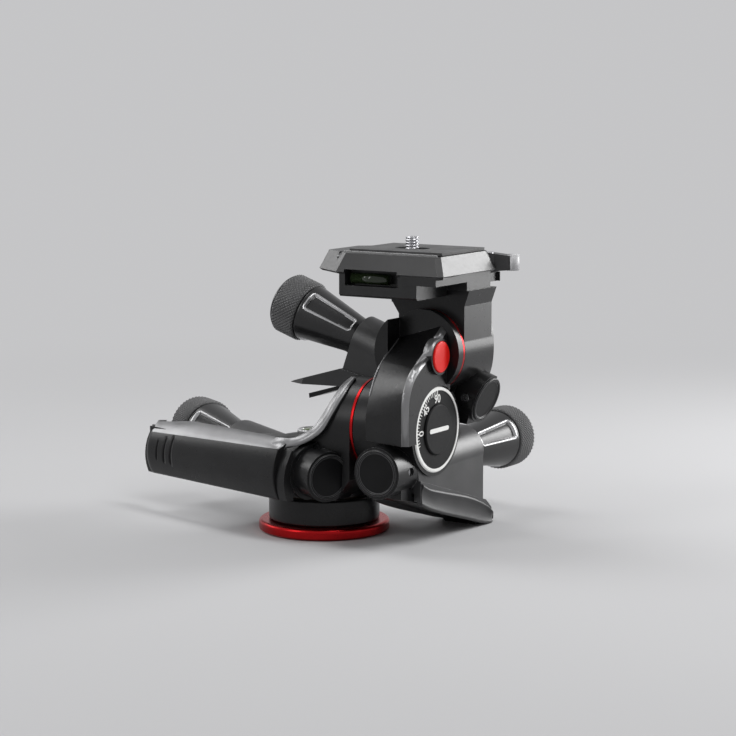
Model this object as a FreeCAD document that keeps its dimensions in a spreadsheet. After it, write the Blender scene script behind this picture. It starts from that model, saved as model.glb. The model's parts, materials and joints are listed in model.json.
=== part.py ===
import FreeCAD, Part
import math
import os
import re

import Sketcher
from FreeCAD import Placement, Rotation, Vector

# A three-way geared tripod head.  +Z is up, the origin is the centre of the face
# that sits on the tripod, the lower tilt turns about X and the upper tilt about Y.
# A worm under each knob walks round a fixed wheel on the stage before it.

SIZES = {
    # base
    "flange_radius": 30.0,
    "flange_height": 5.0,
    "flange_edge": 1.6,
    "neck_radius": 25.4,
    "neck_top": 17.0,
    "insert_radius": 7.0,
    "insert_depth": 12.0,
    "tripod_bore_radius": 3.97,
    "screw_ring_radius": 18.0,
    "screw_head_radius": 2.9,
    "screw_shank_radius": 1.5,
    "screw_depth": 8.0,
    # running gaps and walls
    "fit_gap": 0.05,
    "side_play": 0.3,
    "cavity_gap": 0.8,
    # gearing
    "axle_radius": 6.0,
    "module_size": 0.6,
    "wheel_teeth": 38.0,
    "worm_pitch_radius": 5.0,
    "tooth_relief": 0.07,
    "pressure_angle": 20.0,
    "wheel_face": 7.0,
    # worm unit, measured along the worm from the point of mesh
    "barrel_radius": 11.4,
    "cap_radius": 10.4,
    "cap_thickness": 1.6,
    "cap_rim": 0.8,
    "pivot_distance": 19.5,
    "pivot_radius": 2.0,
    "barrel_end": 13.5,
    "tongue_half_width": 7.6,
    "tongue_half_height": 6.4,
    "tongue_tail": 3.2,
    "leaf_depth": 9.0,
    "leaf_width": 8.0,
    "leaf_thickness": 0.4,
    "sleeve_end": 45.2,
    "sleeve_bore_radius": 6.2,
    "inner_bush_radius": 5.0,
    "inner_bush_length": 3.0,
    "outer_bush_length": 6.0,
    "shaft_radius": 3.0,
    "knob_start": 46.0,
    "knob_length": 45.5,
    "knob_neck_radius": 8.6,
    "knob_rim_radius": 13.4,
    "knob_cone_length": 31.0,
    "grip_radius": 14.6,
    "grip_length": 12.5,
    "knob_facets": 6.0,
    "facet_depth": 0.9,
    "release_angle": 3.8,
    # release levers
    "skirt_half_width": 11.2,
    "skirt_wall": 2.4,
    "hem_step": 1.1,
    "skirt_foot": 14.4,
    "lower_wing_reach": 60.4,
    "lower_wing_drop": 35.1,
    "lower_wing_bend": 31.0,
    "lower_shoulder": 22.5,
    "upper_wing_reach": 72.4,
    "upper_wing_drop": 33.0,
    "upper_wing_bend": 20.4,
    "upper_shoulder": 13.8,
    "rest_thickness": 2.0,
    "pan_wing_reach": 60.0,
    "pan_wing_width": 15.0,
    # pan stage
    "pan_wheel_height": 31.5,
    "pan_gap": 1.0,
    "deck_top": 41.5,
    "drum_radius": 22.6,
    "pan_barrel_length": 29.0,
    "pan_knob_heading": 156.0,
    "sweep_radius": 30.0,
    "upright_left": 17.4,
    "level_radius": 7.0,
    "arm_low": -13.0,
    "arm_height": 22.5,
    "arm_curve": 22.0,
    "arm_reach": 82.0,
    "arm_thickness": 3.2,
    "arm_bevel": 5.2,
    # lower tilt
    "lower_axis_height": 51.0,
    "lower_hub_radius": 21.1,
    "lower_ring_place": 27.2,
    "ring_thickness": 1.4,
    "lower_unit_place": 47.0,
    "lower_barrel_length": 30.0,
    "dial_place": 60.0,
    "dial_radius": 19.2,
    "dial_rim": 1.7,
    "pointer_radius": 11.4,
    "axle_bush_radius": 8.0,
    "thrust_radius": 12.0,
    # upper tilt
    "upper_axis_side": 48.4,
    "axis_rise": 33.4,
    "upper_hub_radius": 18.8,
    "upper_ring_place": 10.4,
    "upper_unit_place": 33.5,
    "upper_barrel_length": 24.5,
    "upper_hub_end": 46.4,
    "upper_nose": -4.0,
    "upper_axle_foot": 3.2,
    "upper_knob_rise": 19.4,
    "arm_left": 36.0,
    "arm_right": 58.0,
    "arm_side": 60.8,
    "cap_boss_radius": 8.0,
    "cap_side": -1.2,
    "cap_drop": 0.7,
    "red_cap_radius": 7.0,
    # camera clamp
    "lever_pivot_along": 64.0,
    "lever_pivot_side": 37.3,
    "lever_hub_radius": 5.0,
    "lever_pin_radius": 1.8,
    "lever_heading": 23.7,
    "catch_along": 47.0,
    "catch_radius": 2.4,
    "vial_radius": 2.4,
    "key_room_radius": 11.2,
    "key_radius": 8.0,
    "ring_wire": 1.8,
    "plate_side": 10.4,
    "clamp_screw_head": 2.6,
    "clamp_screw_shank": 1.4,
    "clamp_screw_length": 12.0,
    "stem_rise": 27.6,
    "clamp_depth": 8.4,
    "clamp_lip": 8.2,
    "clamp_left": 1.0,
    "clamp_right": 71.0,
    "clamp_front": 16.0,
    "clamp_back": 37.0,
    "clamp_corner": 11.0,
    "clamp_cut": 16.0,
    "clamp_slope": 3.2,
    "plate_centre": 40.5,
    "plate_length": 52.5,
    "plate_width": 42.6,
    "plate_stand": 1.4,
    "plate_thickness": 8.6,
    "plate_bevel": 2.4,
    "pad_thickness": 0.8,
    "pad_slot_radius": 4.4,
    "pad_slot_half": 4.2,
    "camera_screw_radius": 3.175,
    "screw_neck_radius": 2.6,
    "camera_screw_reach": 5.2,
    "quick_lever_length": 15.6,
    "quick_lever_height": 8.6,
}

# Heights that follow from the sizes above, from the lower tilt axis up.
HEIGHTS = {
    "upper_axis_height": "(lower_axis_height + axis_rise)",
    "clamp_seat": "(upper_axis_height + stem_rise)",
    "clamp_flange_height": "(clamp_seat + clamp_depth)",
    "clamp_top": "(clamp_flange_height + clamp_lip)",
    "plate_top": "(clamp_top + plate_stand)",
    "lever_floor": "(clamp_flange_height - 2)",
    "catch_height": "(clamp_flange_height + 3.6)",
    "ring_hinge_height": "(plate_top - plate_thickness + 2)",
}

doc = FreeCAD.newDocument("geared_head")
sheet = doc.addObject("Spreadsheet::Sheet", "Sizes")
for row, (alias, number) in enumerate(SIZES.items(), start=1):
    sheet.set(f"A{row}", alias)
    sheet.set(f"B{row}", str(number))
    sheet.setAlias(f"B{row}", alias)
doc.recompute()

nodes = []


# ------------------------------------------------------------------ expressions

def bind(text):
    """Turn size names in an expression into references to the sheet."""
    def reference(name):
        word = name.group(0)
        return bind(HEIGHTS[word]) if word in HEIGHTS else "Sizes." + word

    return re.sub(r"[a-z]+(?:_[a-z]+)+", reference, str(text))


def value(text):
    """The present value of an expression of sizes."""
    return float(sheet.evalExpression(bind(text)))


def measure(owner, path, text):
    """Drive one property of an object by an expression of sizes."""
    owner.setExpression(path, bind(text))


WHEEL_PITCH = "(module_size * wheel_teeth / 2)"
WHEEL_TIP = f"({WHEEL_PITCH} + module_size)"
CENTRES = f"({WHEEL_PITCH} + worm_pitch_radius)"
WORM_TIP = "(worm_pitch_radius + module_size)"
WORM_ROOT = "(worm_pitch_radius - 1.25 * module_size)"
LEAD = "asin(module_size / (2 * worm_pitch_radius))"
WORM_PITCH = f"(pi * module_size / cos({LEAD}))"
WHEEL_HOLLOW = f"({WHEEL_TIP} + cavity_gap)"
WHEEL_SLOT = "(wheel_face + 2 * side_play)"
SLEEVE_HOLLOW = "(barrel_radius + side_play)"


# -------------------------------------------------------------------- sketching

def draw(sketch, corners):
    """Draw a closed outline of expression pairs.

    An entry ("arc", radius, side) between two corners joins them by an arc that
    bulges to the left (+1) or right (-1) of the way from one to the next.
    """
    corners = list(corners)
    spans = []
    for place, corner in enumerate(corners):
        if corner[0] == "arc":
            continue
        follower = corners[(place + 1) % len(corners)]
        arc = None
        if follower[0] == "arc":
            arc = follower
            follower = corners[(place + 2) % len(corners)]
        spans.append((corner, follower, arc))
    ends = []
    for start, finish, arc in spans:
        a = Vector(value(start[0]), value(start[1]), 0)
        b = Vector(value(finish[0]), value(finish[1]), 0)
        if arc is None:
            index = sketch.addGeometry(Part.LineSegment(a, b))
            ends.append((index, 1, 2))
            continue
        index, first, last = draw_arc(sketch, a, b, value(arc[1]), arc[2])
        radius = sketch.addConstraint(Sketcher.Constraint("Radius", index, value(arc[1])))
        measure(sketch, f"Constraints[{radius}]", arc[1])
        ends.append((index, first, last))
    for place, (index, first, last) in enumerate(ends):
        following = ends[(place + 1) % len(ends)]
        sketch.addConstraint(Sketcher.Constraint("Coincident", index, last, following[0], following[1]))
        for kind, text in zip(("DistanceX", "DistanceY"), spans[place][0]):
            rule = Sketcher.Constraint(kind, -1, 1, index, first, value(text))
            measure(sketch, f"Constraints[{sketch.addConstraint(rule)}]", text)


def draw_arc(sketch, a, b, radius, side):
    chord = b - a
    normal = Vector(-chord.y, chord.x, 0).normalize()
    rise = math.sqrt(radius ** 2 - (chord.Length / 2) ** 2)
    centre = (a + b) * 0.5 - normal * rise * side
    circle = Part.Circle(centre, Vector(0, 0, 1), radius)
    angle_a = math.atan2(a.y - centre.y, a.x - centre.x)
    angle_b = math.atan2(b.y - centre.y, b.x - centre.x)
    if side < 0:
        index = sketch.addGeometry(Part.ArcOfCircle(circle, angle_a, angle_b))
        return index, 1, 2
    index = sketch.addGeometry(Part.ArcOfCircle(circle, angle_b, angle_a))
    return index, 2, 1


def draw_circle(sketch, centre, radius):
    middle = Vector(value(centre[0]), value(centre[1]), 0)
    index = sketch.addGeometry(Part.Circle(middle, Vector(0, 0, 1), value(radius)))
    rules = [("DistanceX", centre[0]), ("DistanceY", centre[1])]
    for kind, text in rules:
        rule = Sketcher.Constraint(kind, -1, 1, index, 3, value(text))
        measure(sketch, f"Constraints[{sketch.addConstraint(rule)}]", text)
    rule = Sketcher.Constraint("Radius", index, value(radius))
    measure(sketch, f"Constraints[{sketch.addConstraint(rule)}]", radius)


# ------------------------------------------------------- bodies of one material

def new_body(name, place=None):
    body = doc.addObject("PartDesign::Body", name)
    body.Label = name
    if place is not None:
        body.Placement = place
    nodes.append(body)
    return body


def plane_of(body, role):
    return next(item for item in body.Origin.OriginFeatures if item.Role == role)


def body_sketch(body, role, tag, offset=None):
    sketch = body.newObject("Sketcher::SketchObject", f"{body.Name}_{tag}")
    sketch.AttachmentSupport = [(plane_of(body, role), "")]
    sketch.MapMode = "FlatFace"
    if offset is not None:
        sketch.AttachmentOffset = offset
    return sketch


def turned(name, outline, place=None):
    """A piece turned about its own Z from an outline of (radius, height)."""
    body = new_body(name, place)
    sketch = body_sketch(body, "XZ_Plane", "profile")
    draw(sketch, outline)
    turn = body.newObject("PartDesign::Revolution", f"{name}_turn")
    turn.Profile = sketch
    turn.ReferenceAxis = (sketch, ["V_Axis"])
    turn.Angle = 360
    return body


def ring_outline(inner, outer, low, high):
    return [(inner, low), (outer, low), (outer, high), (inner, high)]


def cut_pocket(body, sketch, depth, tag, through=False, reverse=False):
    pocket = body.newObject("PartDesign::Pocket", f"{body.Name}_{tag}")
    pocket.Profile = sketch
    if through:
        pocket.SideType = "Symmetric"
    pocket.Reversed = reverse
    measure(pocket, "Length", depth)
    return pocket


def polar(body, feature, count, tag):
    pattern = body.newObject("PartDesign::PolarPattern", f"{body.Name}_{tag}")
    pattern.Originals = [feature]
    pattern.Axis = (plane_of(body, "Z_Axis"), [""])
    pattern.Angle = 360
    measure(pattern, "Occurrences", count)
    body.Tip = pattern
    return pattern


# --------------------------------------------------------- castings by booleans

def make(kind, name, place=None):
    item = doc.addObject(kind, name)
    if place is not None:
        item.Placement = place
    return item


def rod(name, radius, low, high, place=None):
    """A round bar about the local Z of `place`, between two heights."""
    bar = make("Part::Cylinder", name)
    measure(bar, "Radius", radius)
    measure(bar, "Height", f"({high}) - ({low})")
    foot = Placement(Vector(0, 0, value(low)), Rotation())
    bar.Placement = foot if place is None else place * foot
    return bar


def brick(name, lows, highs, place=None):
    """A block between two corners of `place`."""
    block = make("Part::Box", name)
    for side, low, high in zip(("Length", "Width", "Height"), lows, highs):
        measure(block, side, f"({high}) - ({low})")
    foot = Placement(Vector(*(value(low) for low in lows)), Rotation())
    block.Placement = foot if place is None else place * foot
    return block


def slab(name, outline, low, high, place=None):
    """An outline in the local XY of `place`, drawn out from low to high."""
    sketch = make("Sketcher::SketchObject", f"{name}_outline")
    draw(sketch, outline)
    foot = Placement(Vector(0, 0, value(low)), Rotation())
    sketch.Placement = foot if place is None else place * foot
    solid = make("Part::Extrusion", name)
    solid.Base = sketch
    solid.DirMode = "Normal"
    solid.Solid = True
    measure(solid, "LengthFwd", f"({high}) - ({low})")
    return solid


def ruled(name, outlines, heights, place):
    """A solid ruled between outlines that lie at heights along the local Z."""
    sections = []
    for count, (outline, height) in enumerate(zip(outlines, heights)):
        sketch = make("Sketcher::SketchObject", f"{name}_section_{count}")
        draw(sketch, outline)
        sketch.Placement = place * Placement(Vector(0, 0, value(height)), Rotation())
        sections.append(sketch)
    loft = make("Part::Loft", name)
    loft.Sections = sections
    loft.Solid = True
    loft.Ruled = True
    return loft


def join(name, pieces):
    whole = make("Part::MultiFuse", name)
    whole.Shapes = pieces
    whole.Refine = True
    return whole


def overlap(name, pieces):
    shared = make("Part::MultiCommon", name)
    shared.Shapes = pieces
    return shared


def carve(name, base, tools):
    rest = make("Part::Cut", name)
    rest.Base = base
    rest.Tool = tools[0] if len(tools) == 1 else join(f"{name}_tools", tools)
    rest.Refine = True
    return rest


def finish_casting(name, item):
    item.Label = name
    nodes.append(item)
    return item


# ------------------------------------------------------------------------ frames

def frame(origin, x_way, y_way):
    """A placement whose axes point along x_way and y_way."""
    z_way = x_way.cross(y_way)
    return Placement(Vector(*origin), Rotation(x_way, y_way, z_way, "ZXY"))


def unit_frames():
    """Wheel and worm frames of the pan, lower and upper worm units.

    In a wheel frame Z is the wheel's axis, X runs towards the knob and Y out
    towards the worm.  The pan worm leans by its lead angle, so that its wheel has
    straight teeth and its knob rises clear of the rest arm.
    """
    heading = math.radians(value("pan_knob_heading"))
    rise = math.radians(value("upper_knob_rise"))
    pan_way = Vector(math.cos(heading), math.sin(heading), 0)
    upper_way = Vector(-math.cos(rise), 0, math.sin(rise))
    wheels = {
        "pan": frame((0, 0, value("pan_wheel_height")), pan_way, Vector(0, 0, 1).cross(pan_way)),
        "lower": frame((value("lower_unit_place"), 0, value("lower_axis_height")),
                       Vector(0, 1, 0), Vector(0, 0, -1)),
        "upper": frame((value("upper_axis_side"), value("upper_unit_place"), value("upper_axis_height")),
                       upper_way, Vector(0, -1, 0).cross(upper_way)),
    }
    leans = {"pan": value(LEAD), "lower": 0.0, "upper": 0.0}
    worms = {}
    for unit, wheel in wheels.items():
        foot = Placement(Vector(0, value(CENTRES), 0), Rotation(Vector(0, 1, 0), -leans[unit]))
        worms[unit] = wheel * foot
    return wheels, worms, leans


WHEELS, WORMS, LEANS = unit_frames()

# Turns a piece's own Z along the worm, with its X towards the wheel.
ALONG_WORM = Placement(Vector(), Rotation(Vector(0, -1, 0), Vector(0, 0, -1), Vector(1, 0, 0), "ZXY"))
# Turns a piece's own Z along the row's X or Y.
ALONG_X = Placement(Vector(), Rotation(Vector(0, 1, 0), Vector(0, 0, 1), Vector(1, 0, 0), "ZXY"))
ALONG_Y = Placement(Vector(), Rotation(Vector(0, 0, 1), Vector(1, 0, 0), Vector(0, 1, 0), "ZXY"))


def lower_axis(along="0"):
    return Placement(Vector(value(along), 0, value("lower_axis_height")), Rotation()) * ALONG_X


def upper_axis(along="0"):
    spot = Vector(value("upper_axis_side"), value(along), value("upper_axis_height"))
    return Placement(spot, Rotation()) * ALONG_Y


FRONT_VIEW = Placement(Vector(), Rotation(Vector(1, 0, 0), Vector(0, 0, 1), Vector(0, -1, 0), "ZXY"))
SIDE_VIEW = ALONG_X


# -------------------------------------------------------------------- worm units

def worm_wheel(name, unit):
    """A toothed wheel whose gaps lean by what the worm's axis does not."""
    body = new_body(name, WHEELS[unit])
    blank = body_sketch(body, "XY_Plane", "blank")
    draw_circle(blank, ("0", "0"), WHEEL_TIP)
    draw_circle(blank, ("0", "0"), "axle_radius + fit_gap")
    pad = body.newObject("PartDesign::Pad", f"{name}_pad")
    pad.Profile = blank
    pad.SideType = "Symmetric"
    measure(pad, "Length", "wheel_face")
    slant = value(LEAD) - LEANS[unit]
    lean = Placement(Vector(), Rotation(Vector(0, 1, 0), slant))
    gap = body_sketch(body, "XY_Plane", "gap", lean)
    flank = "tan(pressure_angle + 90 / wheel_teeth)"
    half = "(pi * module_size / 4 + tooth_relief)"
    low = f"{WHEEL_PITCH} - 1.25 * module_size"
    high = f"{WHEEL_TIP} + cavity_gap"
    low_half = f"{half} - 1.25 * module_size * {flank}"
    high_half = f"{half} + (module_size + cavity_gap) * {flank}"
    draw(gap, [
        (f"-({low_half})", low),
        (low_half, low),
        (high_half, high),
        (f"-({high_half})", high),
    ])
    doc.recompute()
    slot = cut_pocket(body, gap, "2 * wheel_face", "slot", through=True)
    doc.recompute()
    polar(body, slot, "wheel_teeth", "teeth")
    return body


def worm_shaft(name, unit):
    """A left-hand worm on its shaft, with a collar behind the outer bush."""
    core_half = "(3 * " + WORM_PITCH + " + 1.4)"
    collar = "(sleeve_end - outer_bush_length)"
    tail = "(barrel_end - 0.9)"
    body = turned(name, [
        ("0", f"-{tail}"),
        ("shaft_radius", f"-{tail}"),
        ("shaft_radius", f"-{core_half}"),
        (WORM_ROOT, f"-{core_half}"),
        (WORM_ROOT, core_half),
        ("shaft_radius", core_half),
        ("shaft_radius", f"{collar} - 2.6"),
        ("sleeve_bore_radius - 0.6", f"{collar} - 2.6"),
        ("sleeve_bore_radius - 0.6", f"{collar} - 0.3"),
        ("shaft_radius", f"{collar} - 0.3"),
        ("shaft_radius", "knob_start + 28"),
        ("0", "knob_start + 28"),
    ], WORMS[unit] * ALONG_WORM)
    thread = body_sketch(body, "XZ_Plane", "thread")
    flank = "tan(pressure_angle)"
    half = "(pi * module_size / 4 - tooth_relief)"
    foot = f"{WORM_ROOT} - 0.3"
    foot_half = f"({half} + (1.25 * module_size + 0.3) * {flank})"
    tip_half = f"({half} - module_size * {flank})"
    start = f"-3 * {WORM_PITCH}"
    draw(thread, [
        (foot, f"{start} - {foot_half}"),
        (WORM_TIP, f"{start} - {tip_half}"),
        (WORM_TIP, f"{start} + {tip_half}"),
        (foot, f"{start} + {foot_half}"),
    ])
    helix = body.newObject("PartDesign::AdditiveHelix", f"{name}_helix")
    helix.Profile = thread
    helix.ReferenceAxis = (thread, ["V_Axis"])
    helix.Mode = "pitch-turns-angle"
    helix.LeftHanded = True
    helix.Turns = 6
    measure(helix, "Pitch", WORM_PITCH)
    return body


def knob(name, unit):
    """A tapered knob with six sunk facets and a seat for its rubber band."""
    base = "knob_start"
    seat = f"({base} + knob_cone_length)"
    end = f"({base} + knob_length)"
    body = turned(name, [
        ("shaft_radius + fit_gap", base),
        ("knob_neck_radius - 0.8", base),
        ("knob_neck_radius", f"{base} + 0.8"),
        ("knob_rim_radius", f"{seat} - 1"),
        ("knob_rim_radius", seat),
        ("knob_rim_radius - 1.4", seat),
        ("knob_rim_radius - 1.4", f"{seat} + grip_length + 0.4"),
        ("knob_rim_radius", f"{seat} + grip_length + 0.4"),
        ("knob_rim_radius", f"{end} - 1"),
        ("knob_rim_radius - 1", end),
        ("8", end),
        ("7", f"{end} - 1.2"),
        ("0", f"{end} - 1.2"),
        ("0", f"{base} + 28.5"),
        ("shaft_radius + fit_gap", f"{base} + 28.5"),
    ], WORMS[unit] * ALONG_WORM)
    slope = math.degrees(math.atan2(
        value("knob_rim_radius - knob_neck_radius"), value("knob_cone_length - 1.8")))
    skin = Vector(value("knob_neck_radius"), 0, value(f"{base} + 0.8"))
    tilt = Rotation(Vector(0, 1, 0), slope)
    lift = tilt.multVec(Vector(1, 0, 0))
    plane = Rotation(Vector(0, 1, 0), tilt.multVec(Vector(0, 0, 1)), lift, "ZXY")
    facet = body.newObject("Sketcher::SketchObject", f"{name}_facet")
    facet.AttachmentSupport = [(plane_of(body, "XY_Plane"), "")]
    facet.MapMode = "FlatFace"
    facet.AttachmentOffset = Placement(skin - lift * value("facet_depth"), plane)
    length = "(knob_cone_length - 3)"
    draw(facet, [
        ("-2.2", "3"),
        ("2.2", "3"),
        ("4.4", f"{length} - 3"),
        ("arc", "6.5", 1),
        ("-4.4", f"{length} - 3"),
    ])
    doc.recompute()
    pocket = cut_pocket(body, facet, "3 * facet_depth + 1", "facet_cut", reverse=True)
    doc.recompute()
    polar(body, pocket, "knob_facets", "facets")
    return body


def grip(name, unit):
    seat = "(knob_start + knob_cone_length + 0.2)"
    top = f"({seat} + grip_length)"
    inner = "knob_rim_radius - 1.4 + fit_gap"
    return turned(name, [
        (inner, seat),
        ("grip_radius - 0.7", seat),
        ("grip_radius", f"{seat} + 0.7"),
        ("grip_radius", f"{top} - 0.7"),
        ("grip_radius - 0.7", top),
        (inner, top),
    ], WORMS[unit] * ALONG_WORM)


def worm_bushes(name, unit):
    """The two plain bushes that the worm shaft turns in."""
    place = WORMS[unit] * ALONG_WORM
    tail = "(barrel_end - 0.6)"
    inner = carve(f"{name}_inner", rod(f"{name}_inner_ring", "inner_bush_radius", f"-{tail}",
                                       f"inner_bush_length - {tail}", place),
                  [rod(f"{name}_inner_bore", "shaft_radius + fit_gap", f"-{tail} - 1",
                       f"inner_bush_length - {tail} + 1", place)])
    near = "(sleeve_end - outer_bush_length)"
    outer = carve(f"{name}_outer", rod(f"{name}_outer_ring", "sleeve_bore_radius", near,
                                       "sleeve_end - 0.4", place),
                  [rod(f"{name}_outer_bore", "shaft_radius + fit_gap", f"{near} - 1",
                       "sleeve_end + 1", place)])
    return finish_casting(name, join(name, [inner, outer]))


def pivot_place(unit):
    return WORMS[unit] * Placement(Vector(-value("pivot_distance"), 0, 0), Rotation())


def barrel_pieces(tag, unit, length):
    """Solid and hollows of the fixed barrel that holds a lever's pivot."""
    place = WORMS[unit]
    along = place * ALONG_WORM
    solid = rod(f"{tag}_barrel", "barrel_radius", f"-{length}", "-barrel_end - side_play", along)
    pocket = brick(
        f"{tag}_pocket",
        (f"-{length} - 1", "-tongue_half_height - 2 * side_play", "-tongue_half_width - side_play"),
        ("-barrel_end + 1", "tongue_half_height + 2 * side_play", "tongue_half_width + side_play"),
        place)
    leaf_seat = brick(
        f"{tag}_leaf_seat",
        ("-pivot_distance - 4", "-leaf_depth", "-leaf_width / 2 - side_play"),
        ("-barrel_end + 1", "0", "leaf_width / 2 + side_play"),
        place)
    cap_seat = rod(f"{tag}_cap_seat", "cap_radius + fit_gap", f"-{length} - 1",
                   f"cap_thickness - cap_rim - {length}", along)
    pin_hole = rod(f"{tag}_pin_hole", "pivot_radius + fit_gap", "-barrel_radius - 1",
                   "barrel_radius + 1", pivot_place(unit))
    return [solid], [pocket, leaf_seat, cap_seat, pin_hole]


def lever_spring(name, unit):
    """A leaf that lies in the barrel and bears on the tail of the tongue."""
    seat = "-leaf_depth"
    tip = "(-tongue_half_height - 0.35)"
    tail = "(-pivot_distance - tongue_tail)"
    leaf = slab(f"{name}_leaf", [
        (f"{tail} + 0.1", tip),
        (f"{tail} + 0.1", f"{tip} - leaf_thickness"),
        ("-pivot_distance + 0.6", seat),
        ("-barrel_end - 1", seat),
        ("-barrel_end - 1", f"{seat} + leaf_thickness"),
        ("-pivot_distance + 0.7", f"{seat} + leaf_thickness"),
    ], "-leaf_width / 2", "leaf_width / 2", WORMS[unit])
    return finish_casting(name, leaf)


def end_cap(name, unit, length):
    """The dished disc that closes a barrel."""
    low = f"-({length})"
    return turned(name, [
        ("0", f"{low} - cap_rim + 0.5"),
        ("cap_radius - 1.6", f"{low} - cap_rim + 0.5"),
        ("cap_radius - 1.1", f"{low} - cap_rim"),
        ("cap_radius - 0.4", f"{low} - cap_rim"),
        ("cap_radius", f"{low} - cap_rim + 0.4"),
        ("cap_radius", f"{low} + cap_thickness - cap_rim"),
        ("0", f"{low} + cap_thickness - cap_rim"),
    ], WORMS[unit] * ALONG_WORM)


def pivot_pin(name, unit):
    half = "(barrel_radius - 1.1)"
    return turned(name, [
        ("0", f"-{half}"),
        ("pivot_radius - 0.3", f"-{half}"),
        ("pivot_radius", f"0.3 - {half}"),
        ("pivot_radius", f"{half} - 0.3"),
        ("pivot_radius - 0.3", half),
        ("0", half),
    ], pivot_place(unit))


def lever_core(tag, unit):
    """Sleeve and tongue of a release lever, and what is bored out of them."""
    place = WORMS[unit]
    along = place * ALONG_WORM
    sleeve = rod(f"{tag}_sleeve", "barrel_radius", "-barrel_end", "sleeve_end", along)
    tongue = brick(
        f"{tag}_tongue",
        ("-pivot_distance - tongue_tail", "-tongue_half_height", "-tongue_half_width"),
        ("-barrel_end + 1", "tongue_half_height", "tongue_half_width"),
        place)
    tail = "(barrel_end - 0.6)"
    tools = [
        rod(f"{tag}_bore", "sleeve_bore_radius + fit_gap", f"inner_bush_length - {tail}", "sleeve_end + 1", along),
        rod(f"{tag}_bush_seat", "inner_bush_radius + fit_gap", f"-{tail}",
            f"inner_bush_length - {tail} + 1", along),
        rod(f"{tag}_pivot_hole", "pivot_radius + fit_gap", "-barrel_radius", "barrel_radius",
            pivot_place(unit)),
        rod(f"{tag}_wheel_slot", WHEEL_HOLLOW, f"-{WHEEL_SLOT} / 2", f"{WHEEL_SLOT} / 2", WHEELS[unit]),
        rod(f"{tag}_axle_relief", "axle_bush_radius + 0.5", "-barrel_radius - 2", "barrel_radius + 2",
            WHEELS[unit]),
    ]
    return [sleeve, tongue], tools


def skirted_lever(name, unit):
    """A release lever: a sleeve with a hollow hemmed skirt that folds over its rest."""
    place = WORMS[unit]
    reach, drop, bend = f"{unit}_wing_reach", f"{unit}_wing_drop", f"{unit}_wing_bend"
    shoulder = f"{unit}_shoulder"
    solids, tools = lever_core(name, unit)
    skirt = slab(f"{name}_skirt", [
        ("-barrel_end + 0.6", "0"),
        ("-barrel_end + 0.6", "skirt_foot"),
        ("sleeve_end - 6", bend),
        (reach, drop),
        (f"{reach} - 3", f"{drop} - 1.8"),
        ("sleeve_end", shoulder),
        ("sleeve_end", "0"),
    ], "-skirt_half_width", "skirt_half_width", place)
    hem = slab(f"{name}_hem", [
        ("-barrel_end + 0.6", "5"),
        ("-barrel_end + 0.6", "skirt_foot"),
        ("sleeve_end - 6", bend),
        (reach, drop),
        (f"{reach} - 2.4", f"{drop} - 2"),
        ("sleeve_end + 1", f"{shoulder} + 0.4"),
    ], "-skirt_half_width - hem_step", "skirt_half_width + hem_step", place)
    hollow = slab(f"{name}_hollow", [
        ("-barrel_end - 3", "barrel_radius - 0.6"),
        ("sleeve_end - 4", "barrel_radius + 1.4"),
        ("sleeve_end - 1", f"{shoulder} + 2.2"),
        (f"{reach} - 7", f"{drop} - 3"),
        (f"{reach} - 7", f"{drop} + 12"),
        ("-barrel_end - 3", f"{drop} + 12"),
    ], "skirt_wall - skirt_half_width", "skirt_half_width - skirt_wall", place)
    solid = join(f"{name}_solid", solids + [skirt, hem])
    return finish_casting(name, carve(name, solid, tools + [hollow] + wing_trims(name, unit)))


def wing_trims(name, unit):
    """Slanted cuts that narrow a wing at its tip."""
    trims = []
    turn = Placement(Vector(), Rotation(Vector(1, 0, 0), Vector(0, 0, 1), Vector(0, -1, 0), "ZXY"))
    reach, drop = f"{unit}_wing_reach", f"{unit}_wing_drop"
    for count, side in enumerate(("", "-")):
        trims.append(slab(f"{name}_trim_{count}", [
            (f"{reach} - 9", f"{side}(skirt_half_width + hem_step + 1)"),
            (f"{reach} - 9", f"{side}(skirt_half_width + hem_step)"),
            (f"{reach} + 1", f"{side}(skirt_half_width - 4.6)"),
            (f"{reach} + 1", f"{side}(skirt_half_width + hem_step + 1)"),
        ], f"-{drop} - 10", "0", WORMS[unit] * turn))
    return trims


def nested_rest(tag, unit):
    """The fixed plate that a skirted lever is squeezed against."""
    root = "(-barrel_end - side_play)"
    reach = f"({unit}_wing_reach - 13)"
    drop = f"({unit}_wing_drop + 0.6)"
    bend = f"{unit}_wing_bend"
    half = "(skirt_half_width - skirt_wall - 2 * side_play)"
    return slab(f"{tag}_rest", [
        (f"{root} - 9", "barrel_radius - 5"),
        (f"{root} - 9", "barrel_radius + 0.8"),
        (root, "skirt_foot"),
        ("sleeve_end - 6", bend),
        (reach, f"{drop} + rest_thickness"),
        (f"{reach} + 1", drop),
        ("sleeve_end - 6", f"{bend} - rest_thickness"),
        (root, "skirt_foot - rest_thickness"),
        (root, "barrel_radius - 5"),
    ], f"-{half}", half, WORMS[unit])


def lever_rooms(tag, unit):
    """Room for a lever's sleeve, closed and released, in the stage that holds it."""
    pivot = Placement(Vector(-value("pivot_distance"), 0, 0), Rotation())
    turn = Placement(Vector(), Rotation(Vector(0, 0, 1), value("release_angle")))
    swung = pivot * turn * pivot.inverse()
    rooms = []
    for state, move in (("closed", Placement()), ("open", swung)):
        place = WORMS[unit] * move * ALONG_WORM
        rooms.append(rod(f"{tag}_{state}_room", SLEEVE_HOLLOW, "-barrel_end - side_play",
                         "sleeve_end + 1", place))
    return rooms


def wheel_room(tag, unit):
    half = f"{WHEEL_SLOT} / 2"
    return rod(f"{tag}_wheel_room", WHEEL_HOLLOW, f"-{half}", half, WHEELS[unit])


# ------------------------------------------------------------------------ screws

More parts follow.
